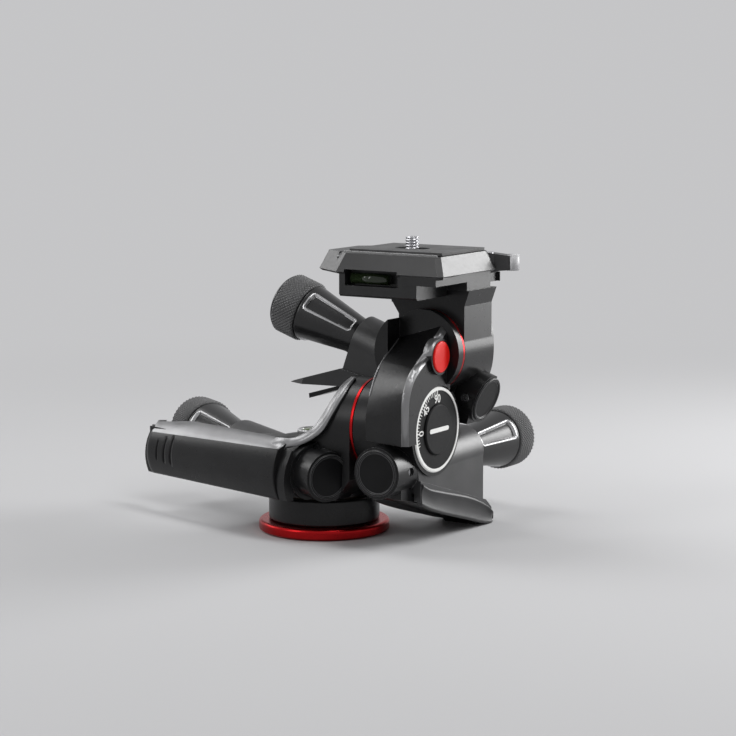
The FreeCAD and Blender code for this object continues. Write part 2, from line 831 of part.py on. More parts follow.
def hexagon(radius):
    return [(f"{radius} * cos({angle})", f"{radius} * sin({angle})") for angle in range(0, 360, 60)]


def screws(name, spots, head, shank, length):
    """Socket screws, heads up along the local Z of each spot."""
    pieces = []
    for count, spot in enumerate(spots):
        tag = f"{name}_{count}"
        body = join(f"{tag}_blank", [
            rod(f"{tag}_head", head, "-2", "0", spot),
            rod(f"{tag}_shank", shank, f"-({length})", "-1.5", spot),
        ])
        socket = slab(f"{tag}_socket", hexagon(f"({head} * 0.55)"), "-1.2", "1", spot)
        pieces.append(carve(f"{tag}_screw", body, [socket]))
    return finish_casting(name, join(name, pieces))


def screw_room(tag, spots, head, shank, length):
    """Holes for a set of screws, with room above each head."""
    rooms = []
    for count, spot in enumerate(spots):
        rooms.append(rod(f"{tag}_head_room_{count}", f"{head} + 0.2", "-2", "30", spot))
        rooms.append(rod(f"{tag}_shank_room_{count}", f"{shank} + fit_gap", f"-({length}) - 0.5", "-1", spot))
    return rooms


# -------------------------------------------------------------------------- base

def flange_screw_spots():
    down = Placement(Vector(), Rotation(Vector(1, 0, 0), 180))
    spots = []
    for angle in (30, 150, 270):
        turn = Placement(Vector(), Rotation(Vector(0, 0, 1), angle))
        spots.append(turn * Placement(Vector(value("screw_ring_radius"), 0, 0.4), Rotation()) * down)
    return spots


def base():
    spots = flange_screw_spots()
    flange = turned("base_flange", [
        ("insert_radius + fit_gap", "0"),
        ("flange_radius - 0.8", "0"),
        ("flange_radius", "0.8"),
        ("flange_radius", "flange_height - flange_edge"),
        ("arc", "flange_edge", -1),
        ("flange_radius - flange_edge", "flange_height"),
        ("insert_radius + fit_gap", "flange_height"),
    ])
    drill(flange, "screw_head_radius + 0.2", "2.6")
    drill(flange, "screw_shank_radius + fit_gap", "flange_height + 1")
    neck = turned("base_neck", [
        ("insert_radius + fit_gap", "flange_height"),
        ("neck_radius - 0.8", "flange_height"),
        ("neck_radius", "flange_height + 0.8"),
        ("neck_radius", "neck_top - 0.6"),
        ("neck_radius - 0.6", "neck_top"),
        ("axle_radius + fit_gap", "neck_top"),
        ("axle_radius + fit_gap", "insert_depth + 0.2"),
        ("insert_radius + fit_gap", "insert_depth + 0.2"),
    ])
    drill(neck, "screw_shank_radius + fit_gap", "screw_depth + 0.5")
    turned("tripod_insert", ring_outline("tripod_bore_radius", "insert_radius", "0", "insert_depth"))
    turned("pan_spindle", [
        ("0", "insert_depth + 0.3"),
        ("axle_radius", "insert_depth + 0.3"),
        ("axle_radius", "deck_top - 4"),
        ("axle_radius - 1", "deck_top - 3"),
        ("0", "deck_top - 3"),
    ])
    screws("flange_screws", spots, "screw_head_radius", "screw_shank_radius", "screw_depth")


def drill(body, radius, depth):
    """Three equal holes bored upwards from the tripod face."""
    tag = f"drill_{len(body.Group)}"
    sketch = body_sketch(body, "XY_Plane", f"{tag}_sketch")
    draw_circle(sketch, ("screw_ring_radius * cos(30)", "screw_ring_radius * sin(30)"), radius)
    doc.recompute()
    hole = cut_pocket(body, sketch, depth, tag, reverse=True)
    doc.recompute()
    polar(body, hole, "3", f"{tag}_ring")


# --------------------------------------------------------------------- pan stage

def flat_frame(unit):
    """The worm's place without its lean, for walls that follow the worm."""
    return WHEELS[unit] * Placement(Vector(0, value(CENTRES), 0), Rotation())


ACROSS = Rotation(Vector(0, 1, 0), Vector(0, 0, 1), Vector(1, 0, 0), "ZXY")
ARM_ROOT = "(-barrel_end - 4)"
ARM_ROOT_OUT = "(barrel_radius + 3)"
ARM_TIP_OUT = "30.6"
LEVEL_SPOT = (-12, 8.5)


def arm_section(out):
    inner = f"{out} - arm_thickness"
    return [
        (inner, "arm_low"),
        (out, "arm_low"),
        ("arc", "arm_curve", -1),
        (out, "arm_low + arm_height - arm_bevel"),
        (f"{inner} + 0.8", "arm_low + arm_height"),
        (inner, "arm_low + arm_height"),
    ]


def pan_arm():
    """The long guard arm beside the pan lever, with its thickened slotted tip."""
    place = flat_frame("pan")
    shell = ruled("pan_arm_shell", [arm_section(ARM_ROOT_OUT), arm_section(ARM_TIP_OUT)],
                  [ARM_ROOT, "arm_reach"], place * Placement(Vector(), ACROSS))
    tip = slab("pan_arm_tip", [
        ("arm_reach - 12", f"{ARM_TIP_OUT} - 5"),
        ("arm_reach", f"{ARM_TIP_OUT} - 7.4"),
        ("arm_reach", f"{ARM_TIP_OUT} - 1"),
        ("arm_reach - 12", f"{ARM_TIP_OUT} - 3"),
    ], "arm_low", "arm_low + arm_height - 0.6", place)
    ring = rod("pan_barrel_collar", "barrel_radius + 1.8", "-barrel_end - 4.6", "-barrel_end - side_play",
               WORMS["pan"] * ALONG_WORM)
    above_gap = brick("pan_collar_room", ("-70", "-70", "neck_top + pan_gap"), ("70", "70", "70"))
    collar = overlap("pan_collar_shaped", [ring, above_gap])
    slits = []
    for count in range(3):
        along = f"(arm_reach - 16 + {5 * count})"
        slits.append(brick(f"pan_arm_slit_{count}",
                           (along, f"{ARM_TIP_OUT} - 1.4", "arm_low + 4"),
                           (f"{along} + 0.8", f"{ARM_TIP_OUT} + 4", "arm_low + 18"), place))
    return [shell, tip, collar], slits


def pan_housing():
    """Drum, deck and curved upright that carry the lower tilt axle."""
    low = "(neck_top + pan_gap)"
    drum = rod("pan_drum", "drum_radius", low, "deck_top")
    bracket = slab("pan_bracket", [
        ("upright_left - sweep_radius", low),
        ("20", low),
        ("lower_ring_place", f"{low} + 10"),
        ("lower_ring_place", "lower_axis_height + lower_hub_radius + 1"),
        ("upright_left", "lower_axis_height + lower_hub_radius + 1"),
        ("upright_left", "deck_top + sweep_radius"),
        ("arc", "sweep_radius", 1),
        ("upright_left - sweep_radius", "deck_top"),
    ], "-lower_hub_radius", "lower_hub_radius", FRONT_VIEW)
    side = slab("pan_bracket_side", [
        ("-lower_hub_radius", low),
        ("lower_hub_radius", low),
        ("lower_hub_radius", "lower_axis_height"),
        ("arc", "lower_hub_radius", -1),
        ("0", "lower_axis_height + lower_hub_radius"),
        ("arc", "lower_hub_radius", -1),
        ("-lower_hub_radius", "lower_axis_height"),
    ], "-40", "lower_ring_place + 1", SIDE_VIEW)
    arm, slits = pan_arm()
    barrel, hollows = barrel_pieces("pan", "pan", "pan_barrel_length")
    solid = join("pan_housing_solid", [drum, overlap("pan_bracket_shaped", [bracket, side])] + barrel + arm)
    spindle_room = rod("pan_spindle_room", "axle_radius + 0.4", low, "deck_top - 2.6")
    level_seat = rod("round_level_seat", "level_radius + fit_gap", "deck_top", "deck_top + 6",
                     Placement(Vector(*LEVEL_SPOT, 0), Rotation()))
    bush_room = rod("pan_bush_room", "axle_bush_radius + fit_gap", f"{low} - 1", "pan_wheel_height - 4.4")
    axle_seat = rod("lower_axle_seat", "axle_radius + fit_gap", "upright_left - 2", "lower_ring_place + 1",
                    lower_axis())
    channel = brick("pan_channel", ("0", "0", "0"), ("sleeve_end", "barrel_radius", "barrel_radius + 2"),
                    WORMS["pan"])
    tools = hollows + slits + lever_rooms("pan", "pan")
    tools += [wheel_room("pan", "pan"), spindle_room, bush_room, axle_seat, channel, level_seat]
    finish_casting("pan_housing", carve("pan_housing", solid, tools))


def pan_lever(name):
    """The pan release lever: a sleeve with a thin wing behind the guard arm."""
    solids, tools = lever_core(name, "pan")
    wing = slab(f"{name}_wing", [
        ("4", "8"),
        ("4", "barrel_radius + 0.6"),
        ("sleeve_end", "barrel_radius + 1.8"),
        ("pan_wing_reach", "barrel_radius + 3.1"),
        ("pan_wing_reach", "barrel_radius + 1.3"),
        ("sleeve_end + 2", "barrel_radius - 0.4"),
        ("sleeve_end - 1", "8"),
    ], "-pan_wing_width * 0.66", "pan_wing_width * 0.34", WORMS["pan"])
    return finish_casting(name, carve(name, join(f"{name}_solid", solids + [wing]), tools))


def pan_stage():
    pan_housing()
    turned("pan_bush", [
        ("axle_radius + fit_gap", "neck_top + fit_gap"),
        ("neck_radius - 4", "neck_top + fit_gap"),
        ("neck_radius - 4", "neck_top + pan_gap"),
        ("axle_bush_radius", "neck_top + pan_gap"),
        ("axle_bush_radius", "pan_wheel_height - 4.6"),
        ("axle_radius + fit_gap", "pan_wheel_height - 4.6"),
    ])
    level = Placement(Vector(*LEVEL_SPOT, value("deck_top")), Rotation())
    turned("round_level_case", [
        ("0", "0"),
        ("level_radius", "0"),
        ("level_radius", "2"),
        ("level_radius - 0.5", "2.5"),
        ("level_radius - 1.4", "2.5"),
        ("level_radius - 1.9", "2"),
        ("level_radius - 1.9", "0.6"),
        ("0", "0.6"),
    ], level)
    turned("round_level_vial", [
        ("0", "0.6"),
        ("level_radius - 1.95", "0.6"),
        ("level_radius - 1.95", "1.9"),
        ("level_radius - 3.4", "2.5"),
        ("0", "2.7"),
    ], level)
    turned("lower_ring", ring_outline("axle_radius + fit_gap", "lower_hub_radius", "lower_ring_place",
                                      "lower_ring_place + ring_thickness"), lower_axis())
    turned("lower_axle", [
        ("0", "upright_left - 1.8"),
        ("axle_radius", "upright_left - 1.8"),
        ("axle_radius", "dial_place - 0.3"),
        ("0", "dial_place - 0.3"),
    ], lower_axis())
    pointer = turned("dial_pointer", [
        ("0", "dial_place - 0.3"),
        ("pointer_radius", "dial_place - 0.3"),
        ("pointer_radius", "dial_place + 0.5"),
        ("pointer_radius - 0.5", "dial_place + 1"),
        ("0", "dial_place + 1"),
    ], lower_axis())
    return pointer


# ------------------------------------------------------------------ middle stage

def arm_outline(front, foot, shoulder, curve, corner, back_top):
    """Side outline (Y, Z) of the curved arm, from its foot round to its back.

    The vertical front ends at height `foot`, an arc of radius `curve` leads to
    `shoulder`, and straight slopes lead through `corner` to `back_top`.
    """
    return [
        ("9.8", "lower_axis_height"),
        ("-10", "lower_axis_height - 4"),
        (front, "lower_axis_height - 4"),
        (front, foot),
        ("arc", curve, 1),
        shoulder,
        corner,
        back_top,
    ]


def above(rise):
    """A height counted from the upper tilt axis."""
    return f"upper_axis_height + {rise}"


def curved_arm():
    """The arm that rises from the lower hub and carries the upper one."""
    low, high = "lower_axis_height + 6", "lower_axis_height + 12"
    sections = [
        arm_outline("-21.5", low, ("-8.9", above(-3.8)), "45", ("3.1", above(3.2)), ("9.8", above(7.6))),
        arm_outline("-27.5", high, ("-17.8", above(-3.8)), "20", ("-2.1", above(6)), ("9.8", above(14.4))),
        arm_outline("-25.6", high, ("-16.8", above(-5.7)), "18.1", ("-1.2", above(3.9)), ("9.8", above(11.8))),
    ]
    return ruled("middle_arm", sections, ["arm_left", "arm_right", "arm_side"], SIDE_VIEW)


def upper_head():
    """Hub of the upper axle: a round nose, a body under the arm's skin and a collar."""
    hub = rod("upper_hub", "upper_hub_radius", "upper_nose", "upper_ring_place - 3", upper_axis())
    under = slab("upper_hub_slope", [
        ("-21.5", "lower_axis_height + 6"),
        ("arc", "45", 1),
        ("-8.9", above(-3.8)),
        ("3.1", above(3.2)),
        ("9.8", above(7.1)),
        ("9.8", "lower_axis_height + 6"),
    ], "arm_left", "arm_side", SIDE_VIEW)
    left = brick("upper_hub_left", ("arm_left - 10", "-20", "40"), ("arm_left + 0.5", "20", "120"))
    collar = rod("upper_collar", "upper_hub_radius", "upper_ring_place - 4", "upper_ring_place", upper_axis())
    shaped = overlap("upper_hub_shaped", [hub, join("upper_hub_room", [under, left])])
    return [shaped, collar]


def middle_housing():
    hub = rod("lower_hub", "lower_hub_radius - 0.2", "lower_ring_place + ring_thickness + 0.3",
              "dial_place - 0.6", lower_axis())
    head = upper_head()
    cap_spot = Vector(0, value("cap_side"), value("upper_axis_height - cap_drop"))
    boss_place = Placement(cap_spot, Rotation()) * ALONG_X
    boss = rod("red_cap_boss", "cap_boss_radius", "arm_side - 3", "arm_side + 1.6", boss_place)
    boss_seat = rod("red_cap_seat", "red_cap_radius + fit_gap", "arm_side + 0.4", "arm_side + 4", boss_place)
    barrel, hollows = barrel_pieces("lower", "lower", "lower_barrel_length")
    rest = nested_rest("lower", "lower")
    solid = join("middle_housing_solid", [hub, curved_arm(), boss, rest] + head + barrel)
    dial_room = rod("dial_room", "dial_radius + 0.3", "dial_place - 0.6", "arm_side + 10", lower_axis())
    axle_room = rod("lower_axle_room", "axle_radius + 0.4", "20", "dial_place", lower_axis())
    bush_room = rod("lower_bush_room", "axle_bush_radius + fit_gap", "20", "lower_unit_place - 4.4", lower_axis())
    flange_room = rod("lower_flange_room", "thrust_radius + 0.2", "20",
                      "lower_ring_place + ring_thickness + 1.6", lower_axis())
    axle_seat = rod("upper_axle_seat", "axle_radius + fit_gap", "upper_axle_foot - 0.2", "upper_ring_place + 1",
                    upper_axis())
    turning_room = rod("upper_turning_room", "upper_hub_radius + 1.7", "upper_ring_place", "80", upper_axis())
    swing_room = brick("upper_swing_room",
                       ("arm_left + 6", "upper_ring_place + 0.8",
                        "upper_axis_height + upper_axis_side - clamp_right + 4.2"),
                       ("dial_place", "lower_hub_radius + 1", "upper_axis_height"))
    tools = hollows + lever_rooms("lower", "lower")
    tools += [swing_room, wheel_room("lower", "lower"), dial_room, axle_room, bush_room, flange_room,
              axle_seat, turning_room, boss_seat]
    finish_casting("middle_housing", carve("middle_housing", solid, tools))
    return boss_place


def thrust_bush(name, start, end, place):
    """A bush on a tilt axle whose flange runs against the red ring."""
    turned(name, [
        ("axle_radius + fit_gap", f"{start} + 0.1"),
        ("thrust_radius", f"{start} + 0.1"),
        ("thrust_radius", f"{start} + 1.6"),
        ("axle_bush_radius", f"{start} + 1.6"),
        ("axle_bush_radius", end),
        ("axle_radius + fit_gap", end),
    ], place)


def middle_stage():
    cap_place = middle_housing()
    thrust_bush("lower_bush", "lower_ring_place + ring_thickness", "lower_unit_place - 4.6", lower_axis())
    turned("dial_plate", ring_outline("pointer_radius + 0.3", "dial_radius - dial_rim - 0.02", "dial_place - 0.6",
                                      "dial_place"), lower_axis())
    turned("dial_rim", [
        ("dial_radius - dial_rim", "dial_place - 0.6"),
        ("dial_radius", "dial_place - 0.6"),
        ("dial_radius", "dial_place - 0.3"),
        ("dial_radius - 0.7", "dial_place + 0.3"),
        ("dial_radius - dial_rim", "dial_place + 0.3"),
    ], lower_axis())
    turned("red_cap", [
        ("0", "arm_side + 0.4"),
        ("red_cap_radius", "arm_side + 0.4"),
        ("red_cap_radius", "arm_side + 1.8"),
        ("red_cap_radius - 0.6", "arm_side + 2.3"),
        ("0", "arm_side + 2.5"),
    ], cap_place)
    turned("upper_axle", [
        ("0", "upper_axle_foot"),
        ("axle_radius", "upper_axle_foot"),
        ("axle_radius", "upper_unit_place + 6"),
        ("axle_radius - 1", "upper_unit_place + 7"),
        ("0", "upper_unit_place + 7"),
    ], upper_axis())
    turned("upper_ring", ring_outline("axle_radius + fit_gap", "upper_hub_radius", "upper_ring_place",
                                      "upper_ring_place + ring_thickness"), upper_axis())


# --------------------------------------------------------------------- top stage

def top_housing():
    """Hub and stem that turn about the upper axle and carry the camera clamp."""
    hub = rod("top_hub", "upper_hub_radius", "upper_ring_place + ring_thickness + 0.2", "upper_hub_end",
              upper_axis())
    stem = slab("top_stem", [
        ("32.5", "upper_axis_height"),
        ("32.5", "clamp_seat - 12"),
        ("24.5", "clamp_seat"),
        ("clamp_right - 2", "clamp_seat"),
        ("clamp_right - 4.5", "clamp_seat - 7"),
        ("clamp_right - 4.5", "upper_axis_height - 5"),
        ("62", "upper_axis_height - 13"),
    ], "-clamp_back", "-upper_ring_place - ring_thickness - 0.4", FRONT_VIEW)
    hub_trim = slab("top_hub_trim", [
        ("clamp_right + 10", "clamp_back + 0.2"),
        ("clamp_right - 3", "clamp_back + 0.2"),
        ("clamp_right - 11", "upper_hub_end + 0.2"),
        ("clamp_right - 11", "upper_hub_end + 10"),
        ("clamp_right + 10", "upper_hub_end + 10"),
    ], "upper_axis_height - 30", "clamp_seat - 4")
    barrel, hollows = barrel_pieces("upper", "upper", "upper_barrel_length")
    rest = nested_rest("upper", "upper")
    solid = join("top_housing_solid", [hub, stem, rest] + barrel)
    axle_room = rod("upper_axle_room", "axle_radius + 0.4", "0", "upper_unit_place + 7.6", upper_axis())
    bush_room = rod("upper_bush_room", "axle_bush_radius + fit_gap", "0", "upper_unit_place - 4.4", upper_axis())
    flange_room = rod("upper_flange_room", "thrust_radius + 0.2", "0",
                      "upper_ring_place + ring_thickness + 1.6", upper_axis())
    spots = clamp_screw_spots()
    tools = hollows + lever_rooms("upper", "upper")
    tools += [wheel_room("upper", "upper"), axle_room, bush_room, flange_room, hub_trim]
    tools += screw_room("clamp", spots, "clamp_screw_head", "clamp_screw_shank", "clamp_screw_length")[1::2]
    finish_casting("top_housing", carve("top_housing", solid, tools))


def clamp_screw_spots():
    spots = []
    for x in ("plate_centre - 13.5", "plate_centre + 14.5"):
        for y in ("clamp_back - 19.5", "clamp_back - 8"):
            spots.append(Placement(Vector(value(x), value(y), value("clamp_seat + 4.5")), Rotation()))
    return spots


def top_stage():
    top_housing()
    thrust_bush("upper_bush", "upper_ring_place + ring_thickness", "upper_unit_place - 4.6", upper_axis())


# ------------------------------------------------------------------ camera clamp

def flange_outline(inset):
    """Plan of the clamp's flange: cut away on the left, barely on the right."""
    left = f"(clamp_left + {inset})"
    right = f"(clamp_right - {inset})"
    front = f"(-clamp_front + {inset})"
    back = f"(clamp_back - {inset})"
    return [
        (f"{left} + clamp_cut", front),
        (f"{right} - 2", front),
        (right, f"{front} + 2"),
        (right, f"{back} - 6"),
        ("arc", "6", -1),
        (f"{right} - 6", back),
        (f"{left} + clamp_cut", back),
        (left, f"{back} - clamp_corner"),
        (left, f"{front} + clamp_corner"),
    ]


def plate_box(name, margin, low, high):
    """A block over the camera plate's footprint, larger by a margin."""
    half_x = f"(plate_length / 2 + {margin})"
    half_y = f"(plate_width / 2 + {margin})"
    return brick(name, (f"plate_centre - {half_x}", f"plate_side - {half_y}", low),
                 (f"plate_centre + {half_x}", f"plate_side + {half_y}", high))


LEVER_PIVOT = ("lever_pivot_along", "lever_pivot_side")


def lever_pivot():
    return Placement(Vector(value(LEVER_PIVOT[0]), value(LEVER_PIVOT[1]), 0), Rotation())


def quick_lever_place():
    return lever_pivot() * Placement(Vector(), Rotation(Vector(0, 0, 1), value("lever_heading")))


def catch_place():
    return Placement(Vector(value("catch_along"), 0, value("catch_height")), Rotation()) * ALONG_Y


def vial_places():
    spots = [("plate_centre - 7.5", "3.9 - clamp_front", "clamp_seat + 5.6"),
             ("clamp_left + 19.6", "plate_side - 2.4", "clamp_seat + 3.8")]
    turns = [ALONG_X, ALONG_Y]
    return [Placement(Vector(*(value(size) for size in spot)), Rotation()) * turn
            for spot, turn in zip(spots, turns)]


def clamp_body():
    flange = ruled("clamp_flange", [flange_outline("0.9"), flange_outline("0"), flange_outline("clamp_slope")],
                   ["clamp_flange_height - 1", "clamp_flange_height", "clamp_top"], Placement())
    block = slab("clamp_block", [
        ("-clamp_front + 1", "clamp_seat - 1.6"),
        ("-clamp_front + 2", "clamp_seat - 2.6"),
        ("11.2", "clamp_seat - 2.6"),
        ("11.2", "clamp_seat"),
        ("clamp_back - 1.4", "clamp_seat"),
        ("clamp_back - 1.4", "clamp_flange_height"),
        ("-clamp_front + 1", "clamp_flange_height"),
    ], "clamp_left + clamp_cut + 1", "clamp_right - 13", SIDE_VIEW)
    pedestal = slab("clamp_pedestal", [
        ("clamp_right - 14", "11.8"),
        ("clamp_right - 3", "11.8"),
        ("clamp_right - 3", "clamp_back - 4"),
        ("clamp_right - 6", "clamp_back - 1.4"),
        ("clamp_right - 14", "clamp_back - 1.4"),
    ], "clamp_seat", "clamp_flange_height")
    corner = slab("clamp_corner_block", [
        ("clamp_right - 21", "-clamp_front + 0.4"),
        ("clamp_right - 2.4", "-clamp_front + 0.4"),
        ("clamp_right - 0.4", "-clamp_front + 2.4"),
        ("clamp_right - 1.6", "22"),
        ("clamp_right - 14", "22"),
    ], "clamp_seat + 4", "clamp_flange_height + 1")
    lug = rod("clamp_lug", "lever_hub_radius + 0.8", "lever_floor - 4", "lever_floor", lever_pivot())
    lug_root = slab("clamp_lug_root", [
        ("clamp_right - 16", "clamp_back - 8"),
        ("lever_pivot_along + 4", "clamp_back - 10"),
        ("lever_pivot_along + lever_hub_radius", "lever_pivot_side"),
        ("lever_pivot_along - lever_hub_radius", "lever_pivot_side"),
    ], "lever_floor - 4", "lever_floor")
    solid = join("clamp_solid", [flange, block, pedestal, corner, lug, lug_root])
    recess = brick("clamp_recess", ("clamp_left + clamp_cut + 4", "-clamp_front - 1", "clamp_seat + 2.4"),
                   ("clamp_right - 22.6", "-clamp_front + 6.4", "clamp_seat + 9.6"))
    well = plate_box("clamp_well", "fit_gap", "plate_top - plate_thickness", "clamp_top + 1")
    key_room = rod("clamp_key_room", "key_room_radius", "clamp_seat - 1", "clamp_top",
                   Placement(Vector(value("plate_centre"), value("plate_side"), 0), Rotation()))
    hub_room = rod("clamp_hub_room", "lever_hub_radius + side_play", "lever_floor", "clamp_top + 1", lever_pivot())
    arm_room = brick("clamp_arm_room", ("0", "-lever_hub_radius - side_play", "lever_floor"),
                     ("quick_lever_length", "0", "clamp_top + 1"), quick_lever_place())
    pin_hole = rod("clamp_pin_hole", "lever_pin_radius + fit_gap", "lever_floor - 5", "lever_floor + 1",
                   lever_pivot())
    catch_hole = rod("clamp_catch_hole", "catch_radius + 0.06", "clamp_back - 4.4", "clamp_back + 4",
                     catch_place())
    front, side = vial_places()
    vial_seat = rod("clamp_vial_seat", "vial_radius + fit_gap", "-9.6", "9.6", side)
    vial_mouth = brick("clamp_vial_mouth", ("clamp_left + 16", "plate_side - 11.4", "clamp_seat + 2"),
                       ("clamp_left + 19.4", "plate_side + 6.6", "clamp_seat + 5.6"))
    arch = slab("clamp_arch", [
        ("-clamp_front - 2", "clamp_flange_height - 6"),
        ("clamp_back + 2", "clamp_flange_height - 6"),
        ("clamp_back + 2", "clamp_flange_height - 1.8"),
        ("arc", "250", -1),
        ("-clamp_front - 2", "clamp_flange_height - 1.8"),
    ], "clamp_right - 2.9", "clamp_right + 1", SIDE_VIEW)
    tools = [recess, well, key_room, hub_room, arm_room, pin_hole, catch_hole, vial_seat, vial_mouth, arch]
    tools += screw_room("clamp_body", clamp_screw_spots(), "clamp_screw_head", "clamp_screw_shank",
                        "clamp_screw_length")
    finish_casting("clamp_body", carve("clamp_body", solid, tools))


def level_vials():
    vials = []
    for count, place in enumerate(vial_places()):
        vials.append(rod(f"level_vial_{count}", "vial_radius", "-9.5", "9.5", place))
    return finish_casting("level_vials", join("level_vials", vials))


def camera_plate():
    low = "(plate_top - plate_thickness)"
    rim = "(plate_top - pad_thickness)"
    half_x = "(plate_length / 2)"
    half_y = "(plate_width / 2)"
    middle = Placement(Vector(value("plate_centre"), value("plate_side"), 0), Rotation())

    def outline(inset):
        return [
            (f"-{half_x} + {inset}", f"-{half_y} + {inset}"),
            (f"{half_x} - {inset}", f"-{half_y} + {inset}"),
            (f"{half_x} - {inset}", f"{half_y} - {inset}"),
            (f"-{half_x} + {inset}", f"{half_y} - {inset}"),
        ]

    slab_low = slab("plate_foot", outline("0"), low, f"{rim} - plate_bevel", middle)
    slab_high = ruled("plate_slope", [outline("0"), outline("plate_bevel")],
                      [f"{rim} - plate_bevel", rim], middle)
    pad_seat = slab("plate_pad_seat", outline("plate_bevel + 1.6"), f"{rim} - 0.6", f"{rim} + 1", middle)
    screw_hole = rod("plate_screw_hole", "camera_screw_radius + 0.06", low, f"{rim} + 1", middle)
    key_hole = rod("plate_key_hole", "key_room_radius", f"{low} - 1", "ring_hinge_height + 1.6", middle)
    finish_casting("camera_plate", carve("camera_plate", join("plate_solid", [slab_low, slab_high]),
                                         [pad_seat, screw_hole, key_hole]))
    pad = slab("plate_pad_blank", outline("plate_bevel + 1.65"), f"{rim} - 0.6", "plate_top", middle)
    ends = [rod(f"plate_pad_hole_{count}", "pad_slot_radius", f"{rim} - 1", "plate_top + 1",
                middle * Placement(Vector(side * value("pad_slot_half"), 0, 0), Rotation()))
            for count, side in enumerate((-1, 1))]
    between = brick("plate_pad_slot", ("-pad_slot_half", "-pad_slot_radius", f"{rim} - 1"),
                    ("pad_slot_half", "pad_slot_radius", "plate_top + 1"), middle)
    finish_casting("plate_pad", carve("plate_pad", pad, ends + [between]))


def camera_screw():
    """The captive screw that holds the camera, with a cross-bored head."""
    middle = Placement(Vector(value("plate_centre"), value("plate_side"), 0), Rotation())
    end = "(plate_top + camera_screw_reach)"
    screw = turned("camera_screw", [
        ("0", "ring_hinge_height - 1.3"),
        ("key_radius", "ring_hinge_height - 1.3"),
        ("key_radius", "ring_hinge_height + 1.3"),
        ("screw_neck_radius", "ring_hinge_height + 1.3"),
        ("screw_neck_radius", "plate_top + 0.2"),
        ("camera_screw_radius", "plate_top + 0.2"),
        ("camera_screw_radius", f"{end} - 0.5"),
        ("camera_screw_radius - 0.5", end),
        ("0", end),
    ], middle)
    doc.recompute()
    bore = body_sketch(screw, "YZ_Plane", "ring_bore")
    draw_circle(bore, ("0", "ring_hinge_height"), "ring_wire / 2 + fit_gap")
    doc.recompute()
    cut_pocket(screw, bore, "3 * key_radius", "ring_hole", through=True)


def folding_ring():
    """The finger ring that folds flat round the head of the camera screw."""
    spot = Vector(value("plate_centre"), value("plate_side"), value("ring_hinge_height"))
    hinge = Placement(spot, Rotation())
    outer = "(key_radius + side_play + ring_wire)"
    disc = rod("d_ring_outer", outer, "-ring_wire / 2", "ring_wire / 2", hinge)
    half = brick("d_ring_half", (f"-{outer}", "-ring_wire / 2", "-ring_wire"),
                 (outer, outer, "ring_wire"), hinge)
    inner = rod("d_ring_inner", "key_radius + side_play", "-ring_wire", "ring_wire", hinge)
    bow = carve("d_ring_bow", overlap("d_ring_half_disc", [disc, half]), [inner])
    axle = rod("d_ring_axle", "ring_wire / 2", "-key_radius - 1", "key_radius + 1", hinge * ALONG_X)
    return finish_casting("d_ring", join("d_ring", [bow, axle]))


def quick_lever():
    """The lever that locks the plate: a hub on its pin and a tapering arm."""
    pivot = lever_pivot()
    low = "(lever_floor + side_play)"
    high = f"({low} + quick_lever_height)"
    hub = rod("quick_lever_hub", "lever_hub_radius", low, f"{high} - 0.8", pivot)
    along = quick_lever_place()
    side = along * Placement(Vector(), Rotation(Vector(1, 0, 0), Vector(0, 0, 1), Vector(0, -1, 0), "ZXY"))
    arm = slab("quick_lever_arm", [
        ("0", low),
        ("quick_lever_length - 5", f"{low} + 0.8"),
        ("quick_lever_length - 5", f"{high} - 1.4"),
        ("0", high),
    ], "-lever_hub_radius + 0.8", "lever_hub_radius - 1.2", side)
    thumb = slab("quick_lever_thumb", [
        ("quick_lever_length - 6.4", "-3.4"),
        ("quick_lever_length - 3.4", "-3.4"),
        ("arc", "3.4", -1),
        ("quick_lever_length - 3.4", "3"),
        ("quick_lever_length - 6.4", "3"),
    ], f"{low} + 0.6", f"{high} - 1", along)
    hole = rod("quick_lever_hole", "lever_pin_radius + fit_gap", "lever_floor - 1", f"{high} + 1", pivot)
    head_room = rod("quick_lever_head_room", "lever_pin_radius + 1.3", f"{high} - 0.7", f"{high} + 1", pivot)
    solid = join("quick_lever_solid", [hub, arm, thumb])
    finish_casting("quick_lever", carve("quick_lever", solid, [hole, head_room]))
    turned("lever_pivot_pin", [
        ("0", "lever_floor - 3.6"),
        ("lever_pin_radius", "lever_floor - 3.6"),
        ("lever_pin_radius", f"{high} - 0.6"),
        ("lever_pin_radius + 1.2", f"{high} - 0.6"),
        ("lever_pin_radius + 0.8", f"{high} + 0.1"),
        ("0", f"{high} + 0.1"),
    ], pivot)


def catch_button():
    """The safety catch beside the quick lever, pressed into the clamp's back face."""
    turned("catch_button", [
        ("0", "clamp_back - 2.8"),
        ("catch_radius", "clamp_back - 2.8"),
        ("catch_radius", "clamp_back + 1.2"),
        ("catch_radius - 0.6", "clamp_back + 1.8"),
        ("0", "clamp_back + 1.8"),
    ], catch_place())


def clamp():
    clamp_body()
    level_vials()
    screws("clamp_screws", clamp_screw_spots(), "clamp_screw_head", "clamp_screw_shank", "clamp_screw_length")
    camera_plate()
    camera_screw()
    folding_ring()
    quick_lever()
    catch_button()


# ----------------------------------------------------------------- whole assembly

def worm_unit(unit):
    """Everything on one worm: wheel, worm, knob, bushes, cap, pin and spring."""
    worm_wheel(f"{unit}_wheel", unit)
    worm_shaft(f"{unit}_worm", unit)
    knob(f"{unit}_knob", unit)
    grip(f"{unit}_grip", unit)
    worm_bushes(f"{unit}_worm_bushes", unit)
    end_cap(f"{unit}_end_cap", unit, f"{unit}_barrel_length")
    pivot_pin(f"{unit}_pivot_pin", unit)
    lever_spring(f"{unit}_lever_spring", unit)


